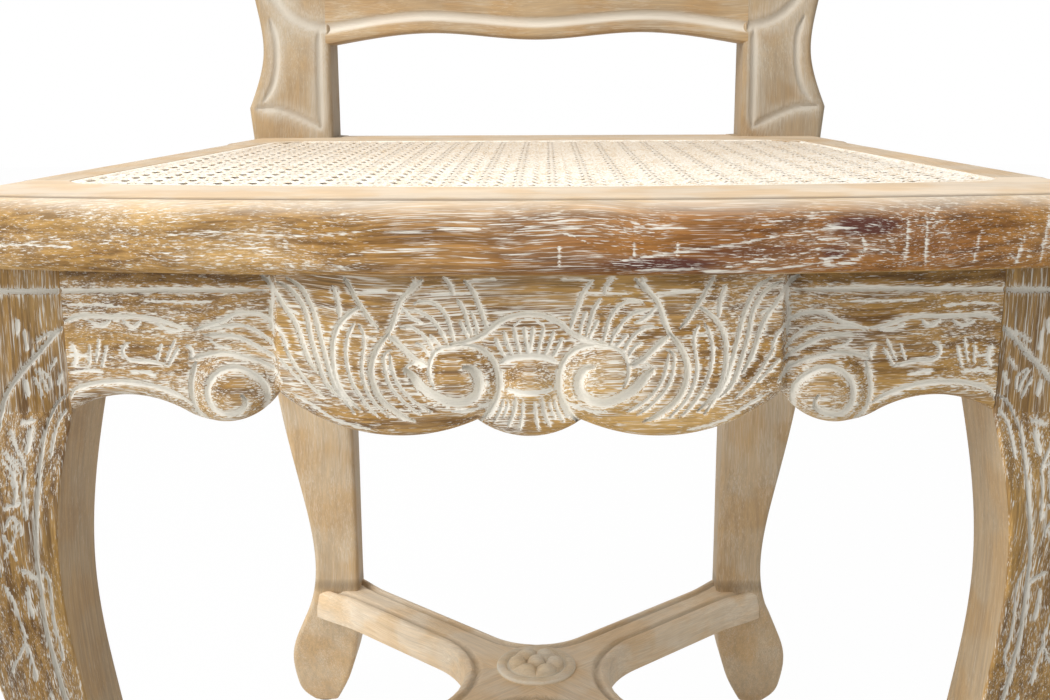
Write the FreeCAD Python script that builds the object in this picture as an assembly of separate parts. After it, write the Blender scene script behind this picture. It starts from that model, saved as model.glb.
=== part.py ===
import FreeCAD, Part
import math
import os

# A dining chair of carved, limed wood with a caned seat and a caned back.
# Millimetres, +Z up, +Y towards the back. The plan is set out from the front edge of
# the flat seat top. At the end the whole chair is moved so that its origin lies on
# the floor under the middle of its box.

V = FreeCAD.Vector
reach = 2000.0                  # beyond the chair on every side, for cutting
tiny = 0.001

# Seat frame
seat_height = 468.0
seat_thickness = 30.0
seat_depth = 432.0              # front line to the faces of the rear posts
seat_front_half_width = 247.0
seat_rear_half_width = 205.0
seat_nose = 10.0                # rounded nose past the front line
seat_bow = 27.0                 # front corners lie this far behind the middle
seat_corner_radius = 30.0
seat_top_round = 7.0
seat_bottom_round = 6.0
seat_tongue = 24.0              # rear rail between the posts
front_band = 46.0               # wood in front of, beside and behind the cane
side_band = 42.0
rear_band = 45.0
seat_opening_corner = 8.0

# Cane panels: a woven sheet on a ledge, wedged into a groove by a spline. A plain grid
# of square openings stands for the weave
cane_thickness = 2.0
cane_ledge = 9.0
cane_columns = 12               # openings across the front of the seat
cane_strand = 10.0              # between two openings
cane_part_opening = 0.3         # least share of an opening that is cut at the edge
spline_width = 5.0
spline_depth = 7.0

# Front legs: each station is a height, then how far the leg's outward faces stand
# out from the top block's and how far its inward faces are drawn after them
leg_overhang = 8.0              # seat's front corner past the top block
leg_block = 45.0
leg_setback = 22.0
leg_block_height = 62.0
knee_drop = 31.0
knee_out = 9.0
knee_in = 5.0
calf_drop = 83.0
calf_out = 6.0
calf_in = 9.0
shin_drop = 152.0
shin_out = -5.0
shin_in = 4.0
ankle_out = -17.0
ankle_in = -6.0
toe_height = 52.0
toe_out = 4.0
toe_in = -4.0
sole_out = -8.0
sole_in = 10.0

# Rear posts: leg and back stile in one. At each station of the leg, how far its inner
# and outer sides stand outwards, and its front and back towards the rear, of its block
post_proud = 1.0                # posts past the seat's rear corner
post_width = 64.0
post_depth = 40.0
post_block_height = 55.0
rear_calf_drop = 113.0
rear_calf_inside = 0.0
rear_calf_side = -8.0
rear_calf_front = 2.0
rear_calf_back = -3.0
rear_shin_drop = 178.0
rear_shin_inside = -1.0
rear_shin_side = -21.0
rear_shin_front = 0.0
rear_shin_back = -9.0
rear_ankle_inside = -1.0
rear_ankle_side = -27.0
rear_ankle_front = -2.0
rear_ankle_back = -8.0
rear_toe_inside = 6.0
rear_toe_side = -7.0
rear_toe_front = 15.0
rear_toe_back = 22.0
rear_sole_inside = 25.0
rear_sole_side = -16.0
rear_sole_front = 34.0
rear_sole_back = 22.0

# Back frame, heights above the seat
back_tilt = 9.5                 # degrees
bend_rise = 42.0
bend_length = 20.0              # of the bend's tangents
stile_thickness = 30.0
hip_rise = 21.0
hip_flare = 2.0                 # hips outside the posts' blocks
waist_rise = 55.0
waist_cut = 7.5                 # waist inside the hips
neck_rise = 95.0
neck_cut = 1.5                  # neck inside the hips
back_flare = 26.0               # widest part outside the posts' blocks
back_wide_lift = 8.0            # widest part of the frame above that of its opening
stile_width = 45.0
shoulder_drop = 7.0             # below the opening's top
shoulder_cut = 20.0             # inside the widest part
shoulder_width = 41.0
ear_height = 35.0               # crest's points above the opening's top
ear_cut = 56.0                  # inside the shoulders
dip_height = 47.0
dip_cut = 75.0                  # inside the ears
crest_height = 70.0
crest_joint_drop = 45.0         # below the opening's upper corners
opening_wide_rise = 322.0
opening_top_rise = 477.0
opening_arch = 20.0             # its top above its upper corners
opening_sag = 8.0               # its bottom below its lower corners
opening_step = 6.0              # its lower corners outside the posts' inner faces
back_opening_corner = 38.0
back_rail_thickness = 24.0
back_rail_end_rise = 66.0
back_rail_height = 70.0         # at its ends
back_rail_arch = 8.0
back_rail_arch_half = 75.0
back_rail_drop = 3.0            # its middle above its ends

# Aprons, drops below the seat frame
apron_thickness = 24.0
apron_setback = 4.0
panel_relief = 5.0              # carved middle of the front apron stands proud
panel_inset = 91.5              # leg to the carved middle
shell_drop = 67.5
shell_half_width = 21.0
shell_cusp_drop = 60.5
lobe_drop = 67.0
panel_cusp_drop = 50.0
volute_drop = 64.0
volute_inset = 70.0             # leg to the lowest point of the volute
volute_end_drop = 61.0
volute_end_inset = 51.5
arch_drop = 54.5
arch_inset = 24.0
side_apron_thickness = 22.0
side_apron_inset = 8.0          # behind the seat's side edge
side_arch_drop = 49.0
side_cusp_drop = 55.0
side_cusp_inset = 98.0
side_lobe_drop = 64.0
rear_apron_thickness = 20.0
rear_apron_setback = 12.0
rear_arch_drop = 42.0
tenon_length = 20.0
tenon_height = 36.0
tenon_thickness = 8.0
tenon_shoulder = 8.0            # apron top edge to tenon
rail_tenon_depth = 10.0         # face of the back to its lower rail's tenon

# Stretcher
stretcher_height = 116.0
stretcher_thickness = 21.0
stretcher_width = 29.0
stretcher_hub_share = 0.63      # hub's place on the way from the front ankles to the rear ones
stretcher_notch_radius = 42.0   # in front of the hub and behind it
stretcher_side_radius = 66.0    # at the hub's sides
stretcher_lap_radius = 66.0
stretcher_short = 6.0           # bars stop this far before the middle of a leg
rosette_radius = 27.0
rosette_rim = 4.0
rosette_crown = 9.0

# Corner blocks, dowels, screws and glides
block_length = 75.0
block_height = 34.0
block_bite = 10.0               # how far a block's corner is set out into the leg
dowel_radius = 4.0
dowel_length = 50.0
dowel_pitch = 18.0
dowel_edge = 16.0               # seat's side edge to the outer dowel
dowel_rise = 11.0               # above the seat frame's underside
crest_dowel_radius = 5.0
crest_dowel_length = 50.0
crest_dowel_pitch = 22.0
stretcher_dowel_radius = 6.0
stretcher_dowel_length = 44.0
screw_radius = 2.0
screw_head_radius = 4.0
screw_head_depth = 3.0
screw_sink = 2.0
screw_bite = 16.0               # thread beyond the block
seat_screw_along = 33.0         # leg to seat screw
seat_screw_inset = 13.0         # side apron to seat screw
rosette_bite = 6.0
glide_radius = 10.0
glide_thickness = 3.0
glide_pin_radius = 1.5
glide_pin_length = 14.0
fit = 0.1                       # clearance round a tenon
end_gap = 1.0                   # clearance past the end of a tenon

# Derived levels and lines
seat_under = seat_height - seat_thickness
seat_corner_y = seat_bow - seat_nose
opening_inset = spline_width + cane_ledge
leg_outer = seat_front_half_width - leg_overhang
leg_inner = leg_outer - leg_block
leg_back = leg_setback + leg_block
post_outer = seat_rear_half_width + post_proud
post_inner = post_outer - post_width
post_back = seat_depth + post_depth
panel_half_width = leg_inner - panel_inset
hip_x = post_outer + hip_flare
back_half_width = post_outer + back_flare
opening_wide_half_width = back_half_width - stile_width
shoulder_half_width = back_half_width - shoulder_cut
opening_high_half_width = shoulder_half_width - shoulder_width
opening_high_rise = opening_top_rise - opening_arch
opening_low_half_width = post_inner + opening_step
opening_low_rise = back_rail_end_rise + back_rail_height
crest_joint_z = seat_height + opening_high_rise - crest_joint_drop
crest_top_z = seat_height + opening_top_rise + crest_height
stretcher_middle = stretcher_height - stretcher_thickness / 2
tilt_cos = math.cos(math.radians(back_tilt))
tilt_sin = math.sin(math.radians(back_tilt))
along_back = V(0, tilt_sin, tilt_cos)


# Lines, curves and prisms

def front(x, z):
    return V(x, -reach, z)


def side(y, z):
    return V(-reach, y, z)


def line(start, end):
    return Part.LineSegment(start, end).toShape()


def lines(points):
    return [line(start, end) for start, end in zip(points, points[1:])]


def arc(start, middle, end):
    return Part.Arc(start, middle, end).toShape()


def curve(half):
    # Smooth curve through the points of a right half and of its mirror image
    bend = Part.BSplineCurve()
    bend.interpolate(half + flip(half)[-2::-1])
    return bend.toShape()


def prism(edges, sweep):
    wire = Part.Wire(Part.__sortEdges__(edges))
    return Part.Face(wire).extrude(sweep)


def front_prism(edges):
    return prism(edges, V(0, 2 * reach, 0))


def side_prism(edges):
    return prism(edges, V(2 * reach, 0, 0))


def box(x0, x1, y0, y1, z0, z1):
    return Part.makeBox(x1 - x0, y1 - y0, z1 - z0, V(x0, y0, z0))


def band_y(y0, y1):
    return box(-reach, reach, y0, y1, -reach, reach)


def band_z(z0, z1):
    return box(-reach, reach, -reach, reach, z0, z1)


def flip(x_points):
    return [V(-p.x, p.y, p.z) for p in x_points]


def mirrored(shape):
    return shape.mirror(V(0, 0, 0), V(1, 0, 0))


def level_wire(x0, x1, y0, y1, z):
    corners = [V(x0, y0, z), V(x1, y0, z), V(x1, y1, z), V(x0, y1, z)]
    return Part.Wire(lines(corners + corners[:1]))


def edges_along(shape, direction):
    # Straight edges of the shape that run in one direction
    found = []
    for edge in shape.Edges:
        run = edge.Vertexes[-1].Point - edge.Vertexes[0].Point
        if run.Length > tiny and abs(abs(run.normalize().dot(direction)) - 1) < tiny:
            found.append(edge)
    return found


def peg(start, direction, length, radius):
    return Part.makeCylinder(radius, length, start, direction)


def cut_all(shape, tools):
    for tool in tools:
        shape = shape.cut(tool)
    return shape


# Seat frame

def seat_side(y):
    # Half width of the seat at y
    slope = (seat_rear_half_width - seat_front_half_width) / (seat_depth - seat_corner_y)
    return seat_front_half_width + slope * (y - seat_corner_y)


def bow(x):
    # How far the front edge has swept back at x
    return seat_bow * (x / seat_front_half_width) ** 2


def field_corners(inset):
    # Front and rear corners of the cane field, drawn in by inset
    front_x = seat_side(front_band + inset + seat_bow) - side_band - inset
    front_y = front_band + inset + bow(front_x)
    rear_y = seat_depth - rear_band - inset
    rear_x = seat_side(rear_y) - side_band - inset
    return front_x, front_y, rear_x, rear_y


def seat_field(inset, z0, z1):
    front_x, front_y, rear_x, rear_y = field_corners(inset)
    middle = V(0, front_band + inset, z0)
    edges = [arc(V(-front_x, front_y, z0), middle, V(front_x, front_y, z0))]
    edges += lines([V(front_x, front_y, z0), V(rear_x, rear_y, z0),
                    V(-rear_x, rear_y, z0), V(-front_x, front_y, z0)])
    block = prism(edges, V(0, 0, z1 - z0))
    radius = seat_opening_corner + opening_inset - inset
    return block.makeFillet(radius, edges_along(block, V(0, 0, 1)))


def seat_blank():
    start = V(-seat_front_half_width, seat_corner_y, seat_under)
    corners = [V(seat_front_half_width, seat_corner_y, seat_under),
               V(seat_rear_half_width, seat_depth, seat_under),
               V(post_inner, seat_depth, seat_under),
               V(post_inner, seat_depth + seat_tongue, seat_under)]
    edges = [arc(start, V(0, -seat_nose, seat_under), corners[0])]
    edges += lines(corners + flip(corners[::-1]))
    blank = prism(edges, V(0, 0, seat_thickness))
    uprights = edges_along(blank, V(0, 0, 1))
    nose_corners = [e for e in uprights if abs(e.Vertexes[0].Y - seat_corner_y) < tiny]
    blank = blank.makeFillet(seat_corner_radius, nose_corners)
    for level, radius in ((seat_height, seat_top_round), (seat_under, seat_bottom_round)):
        rim = [e for e in blank.Edges if abs(e.CenterOfMass.z - level) < tiny
               and e.BoundBox.ZLength < tiny and e.CenterOfMass.y < seat_depth - tiny]
        blank = blank.makeFillet(radius, rim)
    return blank


def seat_spline_ring():
    z0 = seat_height - spline_depth
    return seat_field(0, z0, seat_height).cut(seat_field(spline_width, z0, seat_height))


def weave_openings(field, up):
    # Square openings in rows along up, on a grid about a field's middle and trimmed to it.
    # An opening of which too little is left at the edge stays closed
    across = V(1, 0, 0)
    through = across.cross(up)
    extent = V(field.BoundBox.XLength, field.BoundBox.YLength, field.BoundBox.ZLength)
    sweep = through * abs(extent.dot(through))
    pitch = 2 * field_corners(opening_inset)[0] / cane_columns
    half = (pitch - cane_strand) / 2
    corners = [across * x + up * y for x, y in ((-half, -half), (half, -half), (half, half), (-half, half))]
    square = prism(lines(corners + corners[:1]), sweep * 2)
    columns = math.ceil(extent.dot(across) / pitch / 2)
    rows = math.ceil(extent.dot(up) / pitch / 2)
    grid = []
    for column in range(-columns, columns):
        for row in range(-rows, rows):
            step = across * ((column + 0.5) * pitch) + up * ((row + 0.5) * pitch)
            grid.append(square.translated(field.BoundBox.Center - sweep + step))
    openings = field.common(Part.makeCompound(grid)).Solids
    least = cane_part_opening * max(opening.Volume for opening in openings)
    return Part.makeCompound([opening for opening in openings if opening.Volume > least])


def seat_sheet():
    return seat_field(spline_width, seat_height - cane_thickness, seat_height)


def seat_cane():
    inside = seat_field(opening_inset + cane_strand / 2, seat_under, seat_height + seat_thickness)
    return seat_sheet().cut(weave_openings(inside, V(0, 1, 0)))


def seat_frame():
    frame = seat_blank().cut(seat_field(opening_inset, seat_under - seat_thickness, seat_height))
    return cut_all(frame, [seat_sheet(), seat_spline_ring()])


def seat_joints():
    # Where the side rails butt against the front rail and the rear rail
    corners = field_corners(opening_inset)
    return corners[1] + seat_opening_corner, corners[3] - seat_opening_corner


def seat_dowels():
    dowels = []
    for y in seat_joints():
        for step in (0, dowel_pitch):
            x = seat_side(y) - dowel_edge - step
            start = V(x, y - dowel_length / 2, seat_under + dowel_rise)
            dowels.append(peg(start, V(0, 1, 0), dowel_length, dowel_radius))
    return dowels + [mirrored(dowel) for dowel in dowels]


# Front legs

def leg_stations():
    # Height, outward shift and inward shift of each station from sole to block
    top = seat_under - leg_block_height
    return [(glide_thickness, sole_out, sole_in), (toe_height, toe_out, toe_in),
            (stretcher_middle, ankle_out, ankle_in), (top - shin_drop, shin_out, shin_in),
            (top - calf_drop, calf_out, calf_in), (top - knee_drop, knee_out, knee_in),
            (top, 0.0, 0.0)]


def leg_section(z, out, drawn):
    # Square section with one corner towards the chair's diagonal
    x0 = leg_inner + drawn
    x1 = leg_outer + out
    y0 = leg_setback - out
    y1 = leg_back - drawn
    return level_wire(x0, x1, y0, y1, z)


def front_leg():
    # Curved leg through its stations, with the plain block on top
    leg = Part.makeLoft([leg_section(*station) for station in leg_stations()], True)
    block = box(leg_inner, leg_outer, leg_setback, leg_back, seat_under - leg_block_height, seat_under)
    return leg.fuse(block).removeSplitter()


# Back frame and rear posts

def back_y(z):
    # Front plane of the tilted back
    return seat_depth + (z - seat_height - bend_rise) * tilt_sin / tilt_cos


def back_slab(near, far):
    # Layer of the tilted back between two depths behind its face
    z0 = seat_height
    z1 = crest_top_z + stile_thickness
    points = [side(back_y(z0) + near / tilt_cos, z0), side(back_y(z1) + near / tilt_cos, z1),
              side(back_y(z1) + far / tilt_cos, z1), side(back_y(z0) + far / tilt_cos, z0)]
    return side_prism(lines(points + points[:1]))


def bent_line(y, corner_z, top_z):
    # Upright line that bends back by the tilt about a corner, up to a level
    start = side(y, corner_z - bend_length)
    end = side(y, corner_z) + along_back * bend_length
    half = math.radians(back_tilt) / 2
    sag = bend_length * math.tan(half / 2) * math.cos(half)
    chord = (start + end) * 0.5
    middle = chord + (side(y, corner_z) - chord).normalize() * sag
    top = side(y + (top_z - corner_z) * tilt_sin / tilt_cos, top_z)
    return [arc(start, middle, end), line(end, top)], start, top


def post_side_view():
    # Block and stile from the side
    block_z = seat_under - post_block_height
    top_z = crest_top_z + stile_thickness
    bend_z = seat_height + bend_rise
    thinning = (post_depth - stile_thickness / tilt_cos) * tilt_cos / tilt_sin
    near_edges, near_start, near_top = bent_line(seat_depth, bend_z, top_z)
    far_edges, far_start, far_top = bent_line(post_back, bend_z + thinning, top_z)
    near = side(seat_depth, block_z)
    far = side(post_back, block_z)
    edges = lines([near_start, near, far, far_start]) + [line(near_top, far_top)]
    return side_prism(edges + near_edges + far_edges)


def back_outline():
    # Front view of the whole back above the hips, left half mirrored
    ear_x = shoulder_half_width - ear_cut
    stations = [(hip_x, hip_rise), (hip_x - waist_cut, waist_rise), (hip_x - neck_cut, neck_rise),
                (back_half_width, opening_wide_rise + back_wide_lift),
                (shoulder_half_width, opening_top_rise - shoulder_drop),
                (ear_x, opening_top_rise + ear_height),
                (ear_x - dip_cut, opening_top_rise + dip_height),
                (0.0, opening_top_rise + crest_height)]
    points = [front(x, seat_height + rise) for x, rise in stations]
    return front_prism([curve(points), line(points[0], flip(points)[0])])


def rear_leg():
    # Curved leg through its stations, from the sole to the block
    block_z = seat_under - post_block_height
    shin_z = block_z - rear_shin_drop
    calf_z = block_z - rear_calf_drop
    stations = [(glide_thickness, rear_sole_inside, rear_sole_side, rear_sole_front, rear_sole_back),
                (toe_height, rear_toe_inside, rear_toe_side, rear_toe_front, rear_toe_back),
                (stretcher_middle, rear_ankle_inside, rear_ankle_side, rear_ankle_front, rear_ankle_back),
                (shin_z, rear_shin_inside, rear_shin_side, rear_shin_front, rear_shin_back),
                (calf_z, rear_calf_inside, rear_calf_side, rear_calf_front, rear_calf_back),
                (block_z, 0.0, 0.0, 0.0, 0.0)]
    sections = [level_wire(post_inner + inside, post_outer + outside, seat_depth + near, post_back + far, z)
                for z, inside, outside, near, far in stations]
    return Part.makeLoft(sections, True)


def back_field(grow):
    # Opening of the back, grown outwards
    low_x = opening_low_half_width + grow
    high_x = opening_high_half_width + grow
    low_right = front(low_x, seat_height + opening_low_rise - grow)
    high_right = front(high_x, seat_height + opening_high_rise + grow)
    wide_right = front(opening_wide_half_width + grow, seat_height + opening_wide_rise)
    low_left, high_left, wide_left = flip([low_right, high_right, wide_right])
    low_middle = front(0, seat_height + opening_low_rise - opening_sag - grow)
    high_middle = front(0, seat_height + opening_top_rise + grow)
    block = front_prism([arc(low_left, low_middle, low_right),
                         arc(low_right, wide_right, high_right),
                         arc(high_right, high_middle, high_left),
                         arc(high_left, wide_left, low_left)])
    return block.makeFillet(back_opening_corner + grow, edges_along(block, V(0, 1, 0)))


def back_sheet():
    return back_field(cane_ledge).common(back_slab(0, cane_thickness))


def back_cane():
    return back_sheet().cut(weave_openings(back_field(-cane_strand / 2), V(0, 0, 1)))


def back_spline_ring():
    ring = back_field(opening_inset).cut(back_field(cane_ledge))
    return ring.common(back_slab(0, spline_depth))


def open_back(shape):
    # Cuts the opening, the ledge under the cane and the spline's groove
    return cut_all(shape, [back_field(0), back_sheet(), back_spline_ring()])


def rear_post():
    block_z = seat_under - post_block_height
    stile = back_outline().common(box(post_inner, reach, -reach, reach, 0, crest_joint_z))
    corners = [front(post_inner, block_z), front(post_outer, block_z), front(post_outer, seat_height),
               front(hip_x, seat_height + hip_rise), front(post_inner, seat_height + hip_rise)]
    block = front_prism(lines(corners + corners[:1]))
    upper = stile.fuse(block).removeSplitter().common(post_side_view())
    return open_back(upper.fuse(rear_leg()).removeSplitter())


def crest_rail():
    blank = back_outline().common(band_z(crest_joint_z, reach))
    return open_back(blank.common(back_slab(0, stile_thickness)))


def lower_back_rail():
    # Rail with a small drop in the middle of its lower edge
    end = front(post_inner, seat_height + back_rail_end_rise)
    arch = front(back_rail_arch_half, end.z + back_rail_arch)
    middle = front(0, end.z + back_rail_drop)
    top = front(post_inner, seat_height + opening_wide_rise)
    edges = [curve([end, arch, middle])] + lines([end, top] + flip([top, end]))
    rail = open_back(front_prism(edges).common(back_slab(0, back_rail_thickness)))
    return rail.fuse(rail_tenons()).removeSplitter()


def rail_tenons(slack=0.0, over=0.0):
    # Tenons of the lower back rail, or with slack and over their mortises
    z0 = seat_height + back_rail_end_rise + back_rail_arch - slack
    z1 = z0 + tenon_height + 2 * slack
    near = rail_tenon_depth - slack
    layer = back_slab(near, near + tenon_thickness + 2 * slack)
    right = box(post_inner, post_inner + tenon_length + over, -reach, reach, z0, z1).common(layer)
    return [right, mirrored(right)]


def crest_dowels():
    # Two on each stile, about the middle of its top
    stile = box(0, reach, -reach, reach, crest_joint_z, crest_joint_z + crest_dowel_radius)
    stile_box = back_outline().common(stile).cut(back_field(0)).optimalBoundingBox(False)
    middle = V(stile_box.Center.x, back_y(crest_joint_z), crest_joint_z)
    middle = middle + V(0, tilt_cos, -tilt_sin) * (stile_thickness / 2)
    dowels = []
    for step in (-crest_dowel_pitch / 2, crest_dowel_pitch / 2):
        start = middle + V(step, 0, 0) - along_back * (crest_dowel_length / 2)
        dowels.append(peg(start, along_back, crest_dowel_length, crest_dowel_radius))
    return dowels + [mirrored(dowel) for dowel in dowels]


# Aprons

def apron_face(x):
    return apron_setback + bow(x)


def front_plate(half, relief):
    # Bowed plank between two ends, its face brought forward by relief
    z0 = seat_under - leg_block_height - leg_block
    end = V(half, apron_face(half) - relief, z0)
    back = V(half, apron_face(half) + apron_thickness, z0)
    left_end, left_back = flip([end, back])
    edges = [arc(left_end, V(0, apron_setback - relief, z0), end), line(end, back)]
    edges += [arc(back, V(0, apron_setback + apron_thickness, z0), left_back), line(left_back, left_end)]
    return prism(edges, V(0, 0, seat_under - z0))


def apron_outline():
    # Shaped lower edge: shell, lobes, volutes and arches on each side of the middle
    def at(x, drop):
        return front(x, seat_under - drop)

    cusp = at(shell_half_width, shell_cusp_drop)
    panel_cusp = at(panel_half_width, panel_cusp_drop)
    volute = at(leg_inner - volute_end_inset, volute_end_drop)
    end = at(leg_inner, leg_block_height)
    lobe_x = (shell_half_width + panel_half_width) / 2
    right = [arc(cusp, at(lobe_x, lobe_drop), panel_cusp),
             arc(panel_cusp, at(leg_inner - volute_inset, volute_drop), volute),
             arc(volute, at(leg_inner - arch_inset, arch_drop), end)]
    left = [mirrored(edge) for edge in right]
    shell = arc(flip([cusp])[0], at(0, shell_drop), cusp)
    top = at(leg_inner, 0)
    rim = lines([end, top, flip([top])[0], flip([end])[0]])
    return front_prism(right + left + [shell] + rim)


def tenon_levels(slack):
    top = seat_under - tenon_shoulder + slack
    return top - tenon_height - 2 * slack, top


def front_tenons(slack=0.0, over=0.0):
    z0, z1 = tenon_levels(slack)
    y = apron_face(leg_inner) + (apron_thickness - tenon_thickness) / 2
    end = leg_inner + tenon_length + over
    right = box(leg_inner, end, y - slack, y + tenon_thickness + slack, z0, z1)
    return [right, mirrored(right)]


def front_apron():
    plank = front_plate(leg_inner, 0).fuse(front_plate(panel_half_width, panel_relief))
    apron = plank.removeSplitter().common(apron_outline())
    return apron.multiFuse(front_tenons()).removeSplitter()


def side_apron_x(y):
    # Outer face of a side apron
    return seat_side(y) - side_apron_inset


def side_tenon(joint, end, slack):
    # One tenon of a side apron, from the joint's plane to its end
    z0, z1 = tenon_levels(slack)
    x = side_apron_x(joint) - (side_apron_thickness + tenon_thickness) / 2
    return box(x - slack, x + tenon_thickness + slack, min(joint, end), max(joint, end), z0, z1)


def side_tenons(slack=0.0, over=0.0):
    length = tenon_length + over
    return [side_tenon(leg_back, leg_back - length, slack),
            side_tenon(seat_depth, seat_depth + length, slack)]


def side_apron():
    z0 = seat_under - leg_block_height - leg_block
    plan = [V(side_apron_x(leg_back), leg_back, z0), V(side_apron_x(seat_depth), seat_depth, z0)]
    inside = [p - V(side_apron_thickness, 0, 0) for p in plan[::-1]]
    plank = prism(lines(plan + inside + plan[:1]), V(0, 0, seat_under - z0))

    def at(y, drop):
        return side(y, seat_under - drop)

    first = at(leg_back + side_cusp_inset, side_cusp_drop)
    second = at(seat_depth - side_cusp_inset, side_cusp_drop)
    start = at(leg_back, leg_block_height)
    end = at(seat_depth, post_block_height)
    rise = [arc(start, at(leg_back + side_cusp_inset / 2, side_arch_drop), first)]
    rise += [arc(first, at((leg_back + seat_depth) / 2, side_lobe_drop), second)]
    rise += [arc(second, at(seat_depth - side_cusp_inset / 2, side_arch_drop), end)]
    rim = lines([end, at(seat_depth, 0), at(leg_back, 0), start])
    apron = plank.common(side_prism(rise + rim))
    return apron.multiFuse(side_tenons()).removeSplitter()


def rear_apron_front():
    return seat_depth + rear_apron_setback


def rear_tenons(slack=0.0, over=0.0):
    z0, z1 = tenon_levels(slack)
    y = rear_apron_front() + (rear_apron_thickness - tenon_thickness) / 2
    end = post_inner + tenon_length + over
    right = box(post_inner, end, y - slack, y + tenon_thickness + slack, z0, z1)
    return [right, mirrored(right)]


def rear_apron():
    end = V(post_inner, rear_apron_front(), seat_under - post_block_height)
    top = V(post_inner, rear_apron_front(), seat_under)
    middle = V(0, rear_apron_front(), seat_under - rear_arch_drop)
    edges = [arc(end, middle, flip([end])[0])]
    edges += lines([end, top, flip([top])[0], flip([end])[0]])
    apron = prism(edges, V(0, rear_apron_thickness, 0))
    return apron.multiFuse(rear_tenons()).removeSplitter()


# Stretcher

def ankle_middle():
    # Middle of the right front leg and of the right rear leg at the stretcher
    front_x = (leg_outer + ankle_out + leg_inner + ankle_in) / 2
    front_y = (leg_setback - ankle_out + leg_back - ankle_in) / 2
    rear_x = (post_inner + rear_ankle_inside + post_outer + rear_ankle_side) / 2
    rear_y = (seat_depth + rear_ankle_front + post_back + rear_ankle_back) / 2
    return V(front_x, front_y, stretcher_middle), V(rear_x, rear_y, stretcher_middle)


def crossing():
    # Hub of the stretcher, behind the middle between the front and rear legs
    near, far = ankle_middle()
    return V(0, near.y + stretcher_hub_share * (far.y - near.y), stretcher_middle)


def arm_ends():
    # Ends of the four arms in turn round the hub, from the right front leg
    near, far = ankle_middle()
    return [near, far] + flip([far, near])


def stretcher_cross():
    # Four arms from the hub, with rounded notches between them
    hub = crossing()
    half = stretcher_width / 2
    ends = arm_ends()
    points = []
    for end, following in zip(ends, ends[1:] + ends[:1]):
        run = (end - hub).normalize()
        next_run = (following - hub).normalize()
        across = V(-run.y, run.x, 0) * half
        tip = end - run * stretcher_short
        bisector = (run + next_run).normalize()
        notch = hub + bisector * (half / math.sin(run.getAngle(next_run) / 2))
        points += [tip - across, tip + across, notch]
    cross = prism(lines(points + points[:1]), V(0, 0, stretcher_thickness))
    cross.translate(V(0, 0, -stretcher_thickness / 2))
    notches = [e for e in edges_along(cross, V(0, 0, 1))
               if (e.CenterOfMass - hub).Length < stretcher_width]
    sides = [e for e in notches if abs(e.CenterOfMass.x) > tiny]
    cross = cross.makeFillet(stretcher_side_radius, sides)
    middles = [e for e in edges_along(cross, V(0, 0, 1))
               if (e.CenterOfMass - hub).Length < stretcher_width]
    return cross.makeFillet(stretcher_notch_radius, middles)


def stretcher_bars():
    # The cross parted into two bars that are bent at its hub and lap there
    hub = crossing()
    cross = stretcher_cross()
    core = peg(V(0, hub.y, 0), V(0, 0, 1), reach, stretcher_lap_radius)
    arms = cross.cut(core).Solids
    lap = cross.common(core)
    bars = []
    for layer, side in ((band_z(0, stretcher_middle), 1), (band_z(stretcher_middle, reach), -1)):
        own = [arm for arm in arms if side * arm.CenterOfMass.x * (arm.CenterOfMass.y - hub.y) > 0]
        bars.append(lap.common(layer).multiFuse(own).removeSplitter())
    return bars


def stretcher_dowels():
    return [peg(end, (crossing() - end).normalize(), stretcher_dowel_length, stretcher_dowel_radius)
            for end in arm_ends()]


def rosette():
    # Low round boss whose face is a cap of a sphere
    rise = rosette_crown - rosette_rim
    radius = (rosette_radius ** 2 + rise ** 2) / (2 * rise)
    middle = V(0, crossing().y, stretcher_height)
    boss = peg(middle, V(0, 0, 1), rosette_crown, rosette_radius)
    return boss.common(Part.makeSphere(radius, middle + V(0, 0, rosette_crown - radius)))


# Corner blocks and screws

def block_corners():
    # Plan of the right front and right rear glue blocks: corner, then two ends
    near_x = leg_inner - block_length
    near_y = leg_back + block_length
    middle = side_apron_thickness / 2
    first = [V(leg_inner + block_bite, leg_back - block_bite, 0),
             V(near_x, apron_face(near_x) + apron_thickness / 2, 0),
             V(side_apron_x(near_y) - middle, near_y, 0)]
    far_y = seat_depth - block_length
    second = [V(post_inner + block_bite, seat_depth + block_bite, 0),
              V(post_inner - block_length, rear_apron_front() + rear_apron_thickness / 2, 0),
              V(side_apron_x(far_y) - middle, far_y, 0)]
    return first, second


def glue_block(corners, neighbours):
    raised = [p + V(0, 0, seat_under - block_height) for p in corners]
    block = prism(lines(raised + raised[:1]), V(0, 0, block_height))
    return cut_all(block, neighbours)


def screw(head, direction, length):
    shank = peg(head, direction, length, screw_radius)
    return shank.fuse(peg(head, direction, screw_head_depth, screw_head_radius)).removeSplitter()


def screw_hole(head, direction, length):
    # The screw with the counterbore that its head is driven down
    bore = peg(head - direction * block_bite, direction, block_bite, screw_head_radius)
    return screw(head, direction, length).fuse(bore)


def block_screws():
    # For the right front and right rear: one screw into the leg, one up into the seat
    leg_corners = (V(leg_inner, leg_back, 0), V(post_inner, seat_depth, 0))
    seat_lines = (leg_back + seat_screw_along, seat_depth - seat_screw_along)
    found = []
    for corners, leg_corner, y in zip(block_corners(), leg_corners, seat_lines):
        level = V(0, 0, seat_under - block_height / 2)
        face = (corners[1] + corners[2]) * 0.5
        run = leg_corner - face
        length = run.Length - screw_sink + screw_bite
        direction = V(run).normalize()
        into_leg = (face + level + direction * screw_sink, direction, length)
        x = side_apron_x(y) - side_apron_thickness - seat_screw_inset
        bottom = V(x, y, seat_under - block_height + screw_sink)
        found.append((into_leg, (bottom, V(0, 0, 1), block_height - screw_sink + screw_bite)))
    return found


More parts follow.
